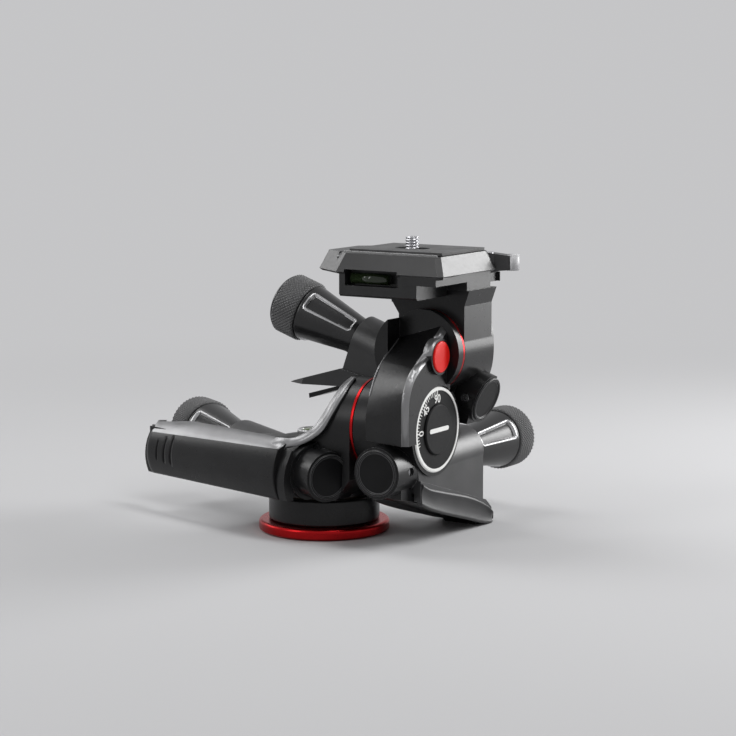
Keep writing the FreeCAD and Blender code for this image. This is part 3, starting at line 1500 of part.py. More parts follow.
def check_model():
    """Stop unless every object recomputed and every piece is a sound solid."""
    faults = [item.Name for item in doc.Objects if {"Invalid", "Error"} & set(item.State)]
    for item in nodes:
        shape = item.Shape
        if shape.isNull() or not shape.isValid() or not shape.Solids:
            faults.append(item.Label)
        elif shape.Volume <= 0:
            faults.append(f"{item.Label} volume")
    if faults:
        raise RuntimeError("faulty: " + ", ".join(faults))


base()
pan_stage()
middle_stage()
top_stage()
clamp()
for unit in ("pan", "lower", "upper"):
    worm_unit(unit)
pan_lever("pan_lever")
skirted_lever("lower_lever", "lower")
skirted_lever("upper_lever", "upper")
doc.recompute()
check_model()

os.makedirs("parts", exist_ok=True)
for node in nodes:
    node.Shape.exportStep(f"parts/{node.Label}.step")
print(len(nodes), "pieces")
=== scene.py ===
"""Finishes and fine detail of a geared tripod head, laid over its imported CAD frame.

Lengths are in metres, in the frame of the CAD model: +Z up, X along the lower tilt
axis towards the dial, Y along the upper tilt axis, away from the curved arm's front.
The shapes of the guard arm, sweep, bead and hems are drawn in millimetres instead.
"""

import json
import math

import bmesh
import bpy
from mathutils import Matrix, Vector


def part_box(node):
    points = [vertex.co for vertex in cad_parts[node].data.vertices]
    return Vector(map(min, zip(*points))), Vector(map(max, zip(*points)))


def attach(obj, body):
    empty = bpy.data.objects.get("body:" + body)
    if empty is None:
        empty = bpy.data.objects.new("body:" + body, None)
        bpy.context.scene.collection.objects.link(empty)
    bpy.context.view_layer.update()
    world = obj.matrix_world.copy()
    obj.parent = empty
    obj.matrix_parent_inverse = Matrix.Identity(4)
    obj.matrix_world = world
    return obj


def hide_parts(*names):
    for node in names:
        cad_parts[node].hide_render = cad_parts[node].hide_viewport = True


MM = 0.001
TAU = 2 * math.pi

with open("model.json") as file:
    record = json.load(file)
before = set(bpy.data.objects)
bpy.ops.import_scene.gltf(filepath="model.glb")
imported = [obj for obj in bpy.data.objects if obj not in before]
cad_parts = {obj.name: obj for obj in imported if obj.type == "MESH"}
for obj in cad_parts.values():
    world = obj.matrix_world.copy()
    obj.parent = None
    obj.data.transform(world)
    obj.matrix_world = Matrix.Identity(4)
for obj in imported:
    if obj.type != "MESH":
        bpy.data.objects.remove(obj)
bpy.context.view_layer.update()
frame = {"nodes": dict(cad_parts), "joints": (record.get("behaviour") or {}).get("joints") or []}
NODES = frame["nodes"]
JOINTS = {joint["name"]: joint for joint in frame["joints"]}
UNITS = ("pan", "lower", "upper")


# ------------------------------------------------------------------ camera and light

CAMERA_BEARING = math.radians(33.306)
CAMERA_HEADING = math.radians(32.16)
CAMERA_PITCH = math.radians(-7.85)
CAMERA_DISTANCE = 1.0046
CAMERA_HEIGHT = 0.21257
CAMERA_LENS = 108.81
CAMERA_SENSOR = 36
CAMERA_NEAR = 0.05
WORLD_LIGHT = 0.26
PALE = (0.56, 0.56, 0.57)
LAMP_TARGET = Vector((0.02, 0.01, 0.06))


def add_camera():
    """The photograph's camera: bearing and distance from the base, then its own heading."""
    data = bpy.data.cameras.new("camera")
    data.lens = CAMERA_LENS
    data.sensor_width = CAMERA_SENSOR
    data.clip_start = CAMERA_NEAR
    camera = bpy.data.objects.new("camera", data)
    bpy.context.scene.collection.objects.link(camera)
    camera.location = (CAMERA_DISTANCE * math.sin(CAMERA_BEARING),
                       -CAMERA_DISTANCE * math.cos(CAMERA_BEARING), CAMERA_HEIGHT)
    forward = Vector((-math.sin(CAMERA_HEADING) * math.cos(CAMERA_PITCH),
                      math.cos(CAMERA_HEADING) * math.cos(CAMERA_PITCH),
                      math.sin(CAMERA_PITCH)))
    camera.rotation_mode = "QUATERNION"
    camera.rotation_quaternion = forward.to_track_quat("-Z", "Y")
    bpy.context.scene.camera = camera


def add_lamp(name, spot, size, power):
    """A soft rectangular lamp that faces the object."""
    data = bpy.data.lights.new(name, "AREA")
    data.shape = "RECTANGLE"
    data.size, data.size_y = size
    data.energy = power
    lamp = bpy.data.objects.new(name, data)
    bpy.context.scene.collection.objects.link(lamp)
    lamp.location = spot
    aim = LAMP_TARGET - Vector(spot)
    lamp.rotation_mode = "QUATERNION"
    lamp.rotation_quaternion = aim.to_track_quat("-Z", "Y")
    lamp.visible_camera = False


def shown_rays(tree):
    """1 on the rays that show the backdrop: the camera's, and those in gloss and glass."""
    path = tree.nodes.new("ShaderNodeLightPath")
    total = path.outputs["Is Camera Ray"]
    for kind in ("Is Glossy Ray", "Is Transmission Ray"):
        added = tree.nodes.new("ShaderNodeMath")
        added.operation = "ADD"
        added.use_clamp = True
        tree.links.new(total, added.inputs[0])
        tree.links.new(path.outputs[kind], added.inputs[1])
        total = added.outputs[0]
    return total


def add_world():
    """Even light all round, and the backdrop's pale tone on the rays that show it."""
    world = bpy.data.worlds.new("studio")
    bpy.context.scene.world = world
    world.use_nodes = True
    tree = world.node_tree
    surface = tree.nodes["Background"]
    shown = tree.nodes.new("ShaderNodeBackground")
    mix = tree.nodes.new("ShaderNodeMixShader")
    surface.inputs["Color"].default_value = (1, 1, 1, 1)
    surface.inputs["Strength"].default_value = WORLD_LIGHT
    shown.inputs["Color"].default_value = (*PALE, 1)
    tree.links.new(shown_rays(tree), mix.inputs["Fac"])
    tree.links.new(surface.outputs[0], mix.inputs[1])
    tree.links.new(shown.outputs[0], mix.inputs[2])
    tree.links.new(mix.outputs[0], tree.nodes["World Output"].inputs["Surface"])


# -------------------------------------------------------------------------- finishes

class Finish:
    """A node material under construction, its textures laid by object coordinates."""

    def __init__(self, name, color, rough, metal=0.0, **sockets):
        self.material = bpy.data.materials.new(name)
        self.material.use_nodes = True
        self.material.diffuse_color = (*color, 1)
        self.tree = self.material.node_tree
        self.shader = self.tree.nodes["Principled BSDF"]
        self.place = self.node("ShaderNodeTexCoord").outputs["Object"]
        self.set("Base Color", (*color, 1))
        self.set("Roughness", rough)
        self.set("Metallic", metal)
        for socket, number in sockets.items():
            self.set(socket.replace("_", " "), number)

    def node(self, kind, **settings):
        made = self.tree.nodes.new(kind)
        for key, number in settings.items():
            setattr(made, key, number)
        return made

    def set(self, socket, number):
        self.shader.inputs[socket].default_value = number

    def link(self, a, b):
        self.tree.links.new(a, b)

    def noise(self, size, detail, stretch=None):
        """Cloudy noise whose blobs are about `size` metres across."""
        made = self.node("ShaderNodeTexNoise")
        made.inputs["Scale"].default_value = 1 / size
        made.inputs["Detail"].default_value = detail
        place = self.place
        if stretch:
            mapping = self.node("ShaderNodeMapping")
            mapping.inputs["Scale"].default_value = stretch
            self.link(place, mapping.inputs["Vector"])
            place = mapping.outputs["Vector"]
        self.link(place, made.inputs["Vector"])
        return made.outputs["Fac"]

    def ramp(self, value, *stops):
        """A colour ramp of (place, grey or colour) stops."""
        made = self.node("ShaderNodeValToRGB")
        marks = made.color_ramp.elements
        marks.remove(marks[1])
        for count, (place, tone) in enumerate(stops):
            spot = marks.new(place) if count else marks[0]
            spot.position = place
            tone = (tone, tone, tone) if isinstance(tone, (int, float)) else tone
            spot.color = (*tone, 1)
        self.link(value, made.inputs["Fac"])
        return made.outputs["Color"]

    def vary(self, socket, value, *stops):
        """Drive a shader socket from a texture, through a ramp."""
        self.link(self.ramp(value, *stops), self.shader.inputs[socket])

    def bump(self, height, depth):
        """Relief `depth` metres deep."""
        made = self.node("ShaderNodeBump")
        made.inputs["Distance"].default_value = depth
        made.inputs["Strength"].default_value = 1.0
        self.link(height, made.inputs["Height"])
        self.link(made.outputs["Normal"], self.shader.inputs["Normal"])


CLOUD_SIZE = 0.012
GLOSS_SIZE = 0.0015
GLOSS_SPREAD = 0.03
LINE_SIZE = 0.0006
LINE_DEPTH = 0.000008
LINE_SPREAD = 0.07


def grained(name, color, rough, grain=0.0005, depth=0.000008, spread=0.3, metal=0.0, **sockets):
    """A coated or moulded surface: cloudy tone, uneven gloss and a fine grain."""
    made = Finish(name, color, rough, metal, **sockets)
    low = tuple(c * (1 - spread) for c in color)
    high = tuple(min(1, c * (1 + spread)) for c in color)
    made.vary("Base Color", made.noise(CLOUD_SIZE, 4), (0.3, low), (0.7, high))
    made.vary("Roughness", made.noise(GLOSS_SIZE, 4),
              (0.3, rough - GLOSS_SPREAD), (0.7, rough + GLOSS_SPREAD))
    made.bump(made.noise(grain, 2), depth)
    return made.material


def brushed(name, color, rough, stretch=(1, 1, 30)):
    """Machined metal with fine lines along one way."""
    made = Finish(name, color, rough, metal=1.0)
    lines = made.noise(LINE_SIZE, 3, stretch)
    low = tuple(c * 0.86 for c in color)
    made.vary("Base Color", lines, (0.35, low), (0.65, color))
    made.vary("Roughness", lines, (0.3, rough - LINE_SPREAD), (0.7, rough + LINE_SPREAD))
    made.bump(lines, LINE_DEPTH)
    return made.material


CASTING = grained("casting_black", (0.007, 0.007, 0.0075), 0.3, Specular_IOR_Level=0.3)
# Lighter grey for the rounded edges of the castings, clamp and levers: a painted highlight along
# them.
CASTING_EDGE_HIGHLIGHT = grained("casting_edge_highlight", (0.3, 0.3, 0.305), 0.28, spread=0.2, metal=0.4)
# Light satin grey for the bands of the guard arm, sweep and curved arm: a painted highlight, the
# reflection of a strip light.
HIGHLIGHT_BAND = grained("band_highlight", (0.26, 0.26, 0.264), 0.36, spread=0.12, metal=0.75)
CLAMP = grained("clamp_black", (0.012, 0.012, 0.0125), 0.34, Specular_IOR_Level=0.4)
LEVER = grained("lever_plastic", (0.024, 0.024, 0.025), 0.38, grain=0.0006, depth=0.000015)
CAP = grained("cap_black", (0.006, 0.006, 0.0065), 0.4, Specular_IOR_Level=0.15)
# Dark grey for the end caps' rounded rims: a painted highlight on them.
CAP_EDGE_HIGHLIGHT = grained("cap_edge_highlight", (0.06, 0.06, 0.062), 0.3, spread=0.15)
RED_RING = brushed("anodised_red", (0.42, 0.012, 0.014), 0.3, (1, 1, 8))
RED_CAP = grained("red_plastic", (0.8, 0.012, 0.008), 0.35, spread=0.08, Specular_IOR_Level=0.2)
KNOB = grained("knob_shell", (0.013, 0.013, 0.0135), 0.24, spread=0.15)
# Light metallic grey for the flutes' rims and walls: a painted highlight.
KNOB_EDGE_HIGHLIGHT = grained("knob_edge_highlight", (0.46, 0.46, 0.465), 0.25, spread=0.1, metal=0.7)
GRIP = grained("grip_rubber", (0.12, 0.12, 0.122), 0.5, grain=0.0003, spread=0.15)
STEEL = brushed("bright_steel", (0.58, 0.58, 0.6), 0.24)
BRONZE = brushed("bearing_bronze", (0.62, 0.4, 0.18), 0.34)
DIAL = grained("dial_black", (0.008, 0.008, 0.0085), 0.5, spread=0.2, Specular_IOR_Level=0.12)
WHITE = grained("white_print", (0.82, 0.82, 0.8), 0.45, spread=0.04)
SILVER = grained("satin_aluminium", (0.62, 0.62, 0.63), 0.33, spread=0.06, metal=0.7)
PAD = grained("pad_rubber", (0.08, 0.08, 0.081), 0.7, grain=0.0004, depth=0.00005)
LIGHT_TIP = grained("lever_tip", (0.5, 0.5, 0.51), 0.4, spread=0.06)


def vial_glass(name, color, clear):
    """Tinted glass full of spirit, `clear` of its light passing through."""
    made = Finish(name, color, 0.08, Transmission_Weight=clear, IOR=1.45)
    low = tuple(c * 0.75 for c in color)
    made.vary("Base Color", made.noise(0.006, 2), (0.3, low), (0.7, color))
    return made.material


VIAL = vial_glass("vial_glass", (0.24, 0.36, 0.1), 0.5)
# The clamp's vials: their own olive tint, darkened almost to black as painted shade.
SHADED_VIAL = vial_glass("shaded_vial_glass", (0.018, 0.028, 0.012), 0.1)
# Bronze darkened almost to black, for the bushes.
DARKENED_BRONZE = grained("darkened_bronze", (0.05, 0.036, 0.024), 0.45)


# ------------------------------------------------------------------- the CAD's nodes

WELD_REACH = 0.002 * MM
FLAT_ANGLE = math.radians(0.4)
SHARP_ANGLE = math.radians(19)
BEVEL_SEGMENTS = 2
NORMAL_WEIGHT = 90


def dress(node, finish, bevel, edge=None):
    """Give a CAD node its finish, and round its sharp edges by `bevel` mm in the finish `edge`;
    a lighter `edge` finish paints a highlight along them.
    """
    piece = NODES[node]
    piece.data.materials.clear()
    piece.data.materials.append(finish)
    piece.data.materials.append(edge or finish)
    piece.data.shade_smooth()
    weld = piece.modifiers.new("weld", "WELD")
    weld.merge_threshold = WELD_REACH
    flat = piece.modifiers.new("flat", "DECIMATE")
    flat.decimate_type = "DISSOLVE"
    flat.angle_limit = FLAT_ANGLE
    if bevel:
        corner = piece.modifiers.new("bevel", "BEVEL")
        corner.width = bevel * MM
        corner.segments = BEVEL_SEGMENTS
        corner.limit_method = "ANGLE"
        corner.angle_limit = SHARP_ANGLE
        corner.use_clamp_overlap = True
        corner.miter_outer = "MITER_ARC"
        corner.material = 1
    normal = piece.modifiers.new("normals", "WEIGHTED_NORMAL")
    normal.keep_sharp = False
    normal.weight = NORMAL_WEIGHT


for name in ("pan_housing", "middle_housing", "top_housing"):
    dress(name, CASTING, 0.4, CASTING_EDGE_HIGHLIGHT)
dress("base_neck", CASTING, 0.3)
dress("clamp_body", CLAMP, 0.25, CASTING_EDGE_HIGHLIGHT)
dress("camera_plate", CLAMP, 0.2, CASTING_EDGE_HIGHLIGHT)
for name in ("pan_lever", "lower_lever", "upper_lever"):
    dress(name, LEVER, 0.5, CASTING_EDGE_HIGHLIGHT)
for name in ("base_flange", "lower_ring", "upper_ring"):
    dress(name, RED_RING, 0.2)
for unit in UNITS:
    dress(f"{unit}_end_cap", CAP, 0.12, CAP_EDGE_HIGHLIGHT)
    dress(f"{unit}_knob", KNOB, 0.25)
    dress(f"{unit}_grip", GRIP, 0.2)
    dress(f"{unit}_worm", STEEL, 0)
    dress(f"{unit}_worm_bushes", BRONZE, 0.1)
    dress(f"{unit}_wheel", BRONZE, 0)
    dress(f"{unit}_bush", DARKENED_BRONZE, 0.1)
    dress(f"{unit}_pivot_pin", STEEL, 0)
    dress(f"{unit}_lever_spring", STEEL, 0)
dress("tripod_insert", BRONZE, 0)
for name in ("pan_spindle", "lower_axle", "upper_axle", "flange_screws", "clamp_screws",
             "camera_screw", "d_ring", "lever_pivot_pin"):
    dress(name, STEEL, 0)
dress("red_cap", RED_CAP, 0)
dress("dial_plate", DIAL, 0)
# The dial's rim is painted white all round: a painted highlight for the bright arc light makes
# on it.
dress("dial_rim", WHITE, 0)
dress("dial_pointer", DIAL, 0.1)
dress("quick_lever", LEVER, 0.4)
dress("catch_button", LEVER, 0)
dress("plate_pad", PAD, 0.1)
dress("round_level_case", SILVER, 0)
dress("round_level_vial", VIAL, 0)
dress("level_vials", SHADED_VIAL, 0)


# ------------------------------------------------------------------ detail in meshes

def add_piece(name, mesh, body, finish):
    """Put a mesh in the scene as a piece that rides on a body."""
    piece = bpy.data.objects.new(name, mesh)
    bpy.context.scene.collection.objects.link(piece)
    mesh.materials.append(finish)
    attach(piece, body)
    return piece


def along(joint):
    """Frame whose Z runs along a joint's axis from the joint's own point."""
    made = Vector(JOINTS[joint]["axis"]).to_track_quat("Z", "Y").to_matrix().to_4x4()
    made.translation = Vector(JOINTS[joint]["pos_m"])
    return made


def on_circle(place, radius, angle, height):
    """A point at a radius and angle about a frame's Z, at a height along it."""
    return place @ Vector((radius * math.cos(angle), radius * math.sin(angle), height))


def triangle_wave(turns):
    """0 at whole turns, 1 half-way between them."""
    return abs(2 * (turns - math.floor(turns + 0.5)))


def smooth(share):
    """An eased step from 0 to 1."""
    share = min(max(share, 0.0), 1.0)
    return share * share * (3 - 2 * share)


CURVE_STEPS = 8


def flowing(points):
    """Points of a smooth curve through the given ones."""
    ends = [points[0], *points, points[-1]]
    made = []
    for a, b, c, d in zip(ends, ends[1:], ends[2:], ends[3:]):
        for k in range(CURVE_STEPS):
            t = k / CURVE_STEPS
            made.append(0.5 * (2 * b + (c - a) * t + (2 * a - 5 * b + 4 * c - d) * t ** 2
                               + (3 * b - a - 3 * c + d) * t ** 3))
    return [*made, points[-1]]


def finished(mesh, name):
    """Mesh data from a bmesh, which is freed, with its faces turned outwards."""
    bmesh.ops.recalc_face_normals(mesh, faces=mesh.faces)
    made = bpy.data.meshes.new(name)
    mesh.to_mesh(made)
    mesh.free()
    return made


def closed_mesh(name, loops, finish_at=None):
    """A mesh of quads between closed loops of points, capped at both ends.

    `finish_at` gives the material slot of a face from its row and column.
    """
    mesh = bmesh.new()
    rows = [[mesh.verts.new(point) for point in loop] for loop in loops]
    count = len(rows[0])
    for place, (a, b) in enumerate(zip(rows, rows[1:])):
        for k in range(count):
            n = (k + 1) % count
            face = mesh.faces.new((a[k], a[n], b[n], b[k]))
            face.smooth = True
            face.material_index = finish_at(place, k) if finish_at else 0
    mesh.faces.new(rows[0])
    mesh.faces.new(reversed(rows[-1]))
    return finished(mesh, name)


# ------------------------------------------------------------ knobs and rubber bands

KNURLS_ROUND = 50
KNURL_STEPS = 8
KNURL_DEPTH = 0.5 * MM
KNURL_FLAT = 0.62
GRIP_START = 77.2 * MM
GRIP_LENGTH = 12.5 * MM
GRIP_RADIUS = 14.6 * MM
GRIP_INNER = 12.05 * MM
GRIP_SHOULDER = 0.8 * MM
GRIP_SHOULDER_DROP = 0.7 * MM


def knurled_mesh(name, place):
    """A rubber band with diamond knurls, closed by its bore."""
    pitch = TAU * GRIP_RADIUS / KNURLS_ROUND
    rows = round(GRIP_LENGTH / pitch * KNURL_STEPS)
    columns = KNURLS_ROUND * KNURL_STEPS
    mesh = bmesh.new()
    loops = []
    for row in range(-1, rows + 2):
        depth = min(max(row, 0), rows) / rows
        height = GRIP_START + depth * GRIP_LENGTH
        shoulder = max(0.0, 1 - min(depth, 1 - depth) * GRIP_LENGTH / GRIP_SHOULDER)
        loop = []
        for column in range(columns):
            turn = column / columns
            across, up = turn * KNURLS_ROUND, depth * GRIP_LENGTH / pitch
            crossing = min(triangle_wave(across + up), triangle_wave(across - up), KNURL_FLAT)
            radius = GRIP_RADIUS - KNURL_DEPTH * (1 - crossing / KNURL_FLAT)
            radius -= GRIP_SHOULDER_DROP * shoulder ** 2
            if row < 0 or row > rows:
                radius = GRIP_INNER
            loop.append(mesh.verts.new(on_circle(place, radius, TAU * turn, height)))
        loops.append(loop)
    loops.append(loops[0])
    for a, b in zip(loops, loops[1:]):
        for k in range(columns):
            n = (k + 1) % columns
            mesh.faces.new((a[k], a[n], b[n], b[k]))
    return finished(mesh, name)


KNOB_START = 46.0 * MM
KNOB_END = 91.5 * MM
KNOB_BORE = 3.05 * MM
KNOB_BORE_END = 74.5 * MM
KNOB_AXIS = 0.5 * MM
KNOB_NECK = 8.6 * MM
KNOB_RIM = 13.4 * MM
KNOB_COLUMNS = 288
KNOB_DISH = 1.2 * MM
SEAT_DEPTH = 1.4 * MM
END_LIP = 1.6 * MM
CONE_CHAMFER = 0.8 * MM
CONE_START = KNOB_START + CONE_CHAMFER
CONE_END = 76.0 * MM
CONE_STEPS = 110
TOWARDS_CAMERA = Vector((0.549, -0.836, 0.0))
FLUTES = 3
FLUTE_RISE = math.radians(30)
FLUTE_HALF_TURN = math.radians(20.5)
FLUTE_FOOT = 2.6 * MM
FLUTE_TOP = 27.4 * MM
FLUTE_CORNER = 1.2 * MM
FLUTE_DEPTH = 1.2 * MM
FLUTE_WALL = 0.8 * MM
FLUTE_LIP = 0.3 * MM
FLUTE_HIGHLIGHT_SHARE = 0.8
LIP_HEIGHT = 0.12 * MM


def flute_edge(turn, run, skin):
    """Distance outside the rim of the nearest flute, negative inside it."""
    across = abs(math.remainder(turn, TAU / FLUTES)) * skin
    side = across - FLUTE_HALF_TURN * skin + FLUTE_CORNER
    end = abs(run - (FLUTE_FOOT + FLUTE_TOP) / 2) - (FLUTE_TOP - FLUTE_FOOT) / 2 + FLUTE_CORNER
    return math.hypot(max(side, 0), max(end, 0)) + min(max(side, end), 0) - FLUTE_CORNER


def knob_rows():
    """(radius, height, fluted) of a knob's rings, from its bore round to its dished end."""
    rows = [(KNOB_AXIS, KNOB_BORE_END, False), (KNOB_BORE, KNOB_BORE_END, False),
            (KNOB_BORE, KNOB_START, False), (KNOB_NECK - CONE_CHAMFER, KNOB_START, False)]
    for k in range(CONE_STEPS + 1):
        rows.append((KNOB_NECK + (KNOB_RIM - KNOB_NECK) * k / CONE_STEPS,
                     CONE_START + (CONE_END - CONE_START) * k / CONE_STEPS, True))
    end = [(KNOB_RIM, CONE_END + 1 * MM), (KNOB_RIM - SEAT_DEPTH, CONE_END + 1 * MM),
           (KNOB_RIM - SEAT_DEPTH, KNOB_END - END_LIP), (KNOB_RIM, KNOB_END - END_LIP),
           (KNOB_RIM, KNOB_END - 1 * MM), (KNOB_RIM - 1 * MM, KNOB_END), (8 * MM, KNOB_END),
           (7 * MM, KNOB_END - KNOB_DISH), (KNOB_AXIS, KNOB_END - KNOB_DISH)]
    return rows + [(radius, height, False) for radius, height in end]


def knob_mesh(name, place):
    """A tapered knob with three sunk flutes, each with a painted highlight on its rim and walls.
    """
    toward = place.inverted().to_3x3() @ TOWARDS_CAMERA
    upward = place.inverted().to_3x3() @ Vector((0, 0, 1))
    facing = math.atan2(toward.y, toward.x)
    way = 1 if math.sin(math.atan2(upward.y, upward.x) - facing) > 0 else -1
    middle = facing + way * FLUTE_RISE
    rows = knob_rows()
    loops = []
    for radius, height, fluted in rows:
        loop = []
        for column in range(KNOB_COLUMNS):
            turn = TAU * column / KNOB_COLUMNS
            reach = radius
            if fluted:
                edge = flute_edge(turn, height - CONE_START, radius)
                reach -= FLUTE_DEPTH * smooth(-edge / FLUTE_WALL)
                reach += LIP_HEIGHT * smooth(1 - abs(edge - FLUTE_LIP) / FLUTE_LIP)
            loop.append(on_circle(place, reach, middle + turn, height))
        loops.append(loop)

    def finish_at(row, column):
        radius, height, fluted = rows[row]
        if not fluted:
            return 0
        edge = flute_edge(TAU * (column + 0.5) / KNOB_COLUMNS, height - CONE_START, radius)
        # Rims and the outer part of the walls take the painted highlight.
        return 1 if -FLUTE_HIGHLIGHT_SHARE * FLUTE_WALL < edge < 2 * FLUTE_LIP else 0

    return closed_mesh(name, loops, finish_at)


for unit in UNITS:
    name = f"{unit}_fluted_knob"
    shell = add_piece(name, knob_mesh(name, along(f"{unit}_knob_turn")),
                      f"{unit}_knob_body", KNOB)
    shell.data.materials.append(KNOB_EDGE_HIGHLIGHT)
    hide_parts(f"{unit}_knob")

for unit in UNITS:
    name = f"{unit}_knurled_band"
    band = add_piece(name, knurled_mesh(name, along(f"{unit}_knob_turn")),
                     f"{unit}_knob_body", GRIP)
    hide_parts(f"{unit}_grip")


# ------------------------------------------------------- guard arm and upright (in mm)

ARM_PLACE = Vector(JOINTS["pan_knob_turn"]["pos_m"])
ARM_WAY = Vector((*JOINTS["pan_knob_turn"]["axis"][:2], 0)).normalized()
ARM_SIDE = Vector((-ARM_WAY.y, ARM_WAY.x, 0))
ARM_START, ARM_END = -12.0, 82.0
ARM_TURN_IN, ARM_TURN_RADIUS = 77.8, 4.4
ARM_ROOT, ARM_ROOT_OUT, ARM_TAPER = -17.5, 14.4, 0.1628
ARM_FOOT = 18.4
ARM_SKIN = 0.15
ARM_BULGE = 2.8
CREASE_ROOT, CREASE_HEIGHT, CREASE_FALL = -10, 41.3, 0.035
CREASE_BELOW_TOP = 1.5
TOP_HEIGHT = 46.0
TIP_FALL, TIP_FALL_START, TIP_FALL_RUN = 3.2, 48, 34
ROOT_FALL, ROOT_FALL_START, ROOT_FALL_RUN = 3.5, -4, 12
BAND_LEAN = 3.6
BACK_EDGE, BACK_EDGE_DROP = 1.1, 0.4
TIP_WIDER, TIP_WIDER_START, TIP_WIDER_RUN = 2.7, 64, 7
ARM_SEAT = ((3.2, 38), (1.6, 30), (1.6, ARM_FOOT + 0.4))
FACE_STEPS = 24
ARM_SLITS = ((71.8, 26.3, 35.0), (66.4, 25.4, 36.2), (61.5, 25.2, 37.4))
SLIT_WIDTH = 0.9
SLIT_DEPTH = 0.8
SLIT_EDGE = 0.06
SLIT_CLEAR = 0.3


def arm_spot(along_mm, out_mm, height_mm):
    """A point by the guard arm: along it, outwards from the pan worm, and up from the floor."""
    flat = ARM_PLACE + (ARM_WAY * along_mm + ARM_SIDE * out_mm) * MM
    return Vector((flat.x, flat.y, height_mm * MM))


def arm_crease(run):
    """Height of the crease between the arm's face and its top band."""
    return CREASE_HEIGHT - CREASE_FALL * (run - CREASE_ROOT)


def arm_loop(run):
    """Section of the arm's skin at `run` mm along it: crowned face, leaning band, seat."""
    out = ARM_ROOT_OUT + ARM_TAPER * (run - ARM_ROOT) + ARM_SKIN
    turn_in = max(run - ARM_TURN_IN, 0)
    out -= ARM_TURN_RADIUS - math.sqrt(ARM_TURN_RADIUS ** 2 - turn_in ** 2)
    top = TOP_HEIGHT - TIP_FALL * smooth((run - TIP_FALL_START) / TIP_FALL_RUN)
    top -= ROOT_FALL * smooth((ROOT_FALL_START - run) / ROOT_FALL_RUN)
    crease = min(arm_crease(run), top - CREASE_BELOW_TOP)
    loop = []
    for step in range(FACE_STEPS + 1):
        share = step / FACE_STEPS
        height = ARM_FOOT + (crease - ARM_FOOT) * share
        reach = out + ARM_BULGE * (1 - (2 * share - 1) ** 2)
        for place, low, high in ARM_SLITS:
            if abs(run - place) < (SLIT_WIDTH + SLIT_EDGE) / 2 and low <= height <= high:
                reach -= SLIT_DEPTH
        loop.append(arm_spot(run, reach, height))
    loop.append(arm_spot(run, out - BAND_LEAN, top))
    tip_width = TIP_WIDER * smooth((run - TIP_WIDER_START) / TIP_WIDER_RUN)
    loop.append(arm_spot(run, out - BAND_LEAN - BACK_EDGE - tip_width, top - BACK_EDGE_DROP))
    for inward, height in ARM_SEAT:
        loop.append(arm_spot(run, out - inward, height))
    return loop


def arm_skin_mesh():
    """The arm's skin, in sections that crowd together at the edges of its three slits."""
    half = SLIT_WIDTH / 2
    runs = [ARM_START + k for k in range(int(ARM_END - ARM_START) + 1)]
    for place, _, _ in ARM_SLITS:
        runs = [run for run in runs if abs(run - place) > half + SLIT_CLEAR]
        runs += [place - half - SLIT_EDGE, place - half, place + half, place + half + SLIT_EDGE]
    runs.sort()

    def finish_at(row, column):
        if column == FACE_STEPS:
            # The top band's faces take the painted highlight.
            return 1
        middle = (runs[row] + runs[row + 1]) / 2
        height = ARM_FOOT + (arm_crease(middle) - ARM_FOOT) * (column + 0.5) / FACE_STEPS
        in_slit = any(abs(middle - place) < half + SLIT_EDGE and low < height < high
                      for place, low, high in ARM_SLITS)
        # Slit faces take the end caps' duller black, as painted shade in the slits.
        return 2 if in_slit and column < FACE_STEPS else 0

    return closed_mesh("guard_arm_skin", [arm_loop(run) for run in runs], finish_at)


arm_skin = add_piece("guard_arm_skin", arm_skin_mesh(), "pan_body", CASTING)
arm_skin.data.materials.append(HIGHLIGHT_BAND)
arm_skin.data.materials.append(CAP)


LOWER_AXIS = Vector(JOINTS["lower_tilt"]["pos_m"])
SWEEP_UPPER = ((-27, -22.6, 43.6), (-15, -26.4, 45.5), (-5, -29.3, 45.8), (1.4, -27.5, 45.9),
               (4.6, -25, 47.6), (8.7, -23, 50.6), (12, -21.6, 55), (15.3, -18.5, 62.1),
               (16.6, -11, 68.9), (17.3, -4, 71.9))
SWEEP_LOWER = ((-28.4, -26.2, 38.2), (-16.2, -29.7, 40.4), (-5.6, -32.7, 41.1),
               (0.1, -30.9, 41.5), (4.8, -28.8, 42.7), (10.1, -26, 45.5), (14.7, -24, 49.7),
               (19.1, -21.8, 57.9), (21.6, -16, 66.2), (21.6, -7, 72.2))
SWEEP_DEPTH = (2.5, 2.5, 5, 8, 7, 6, 4, 3.4, 3, 1.6)
SWEEP_CROWN = 0.25


def towards_axis(spot):
    """The way from a point, in mm, straight to the lower tilt axis."""
    return Vector((0, LOWER_AXIS.y / MM - spot.y, LOWER_AXIS.z / MM - spot.z)).normalized()


def sweep_mesh():
    """The band that flows from the arm's top up the front edge of the upright, its front faces
    painted with a highlight.
    """
    upper = flowing([Vector(p) for p in SWEEP_UPPER])
    lower = flowing([Vector(p) for p in SWEEP_LOWER])
    depths = flowing([Vector((d, 0, 0)) for d in SWEEP_DEPTH])
    loops = []
    for a, b, depth in zip(upper, lower, depths):
        below_a, below_b = (towards_axis(p) * depth.x for p in (a, b))
        crown = (a + b) / 2 - below_a.normalized() * SWEEP_CROWN
        loops.append([p * MM for p in (a, crown, b, b + below_b, a + below_a)])
    # The two front columns of each section take the painted highlight.
    return closed_mesh("upright_sweep", loops, lambda row, column: 1 if column < 2 else 0)


sweep = add_piece("upright_sweep", sweep_mesh(), "pan_body", CASTING)
sweep.data.materials.append(HIGHLIGHT_BAND)


# ------------------------------------------------------- facings, painted highlight bead and hems

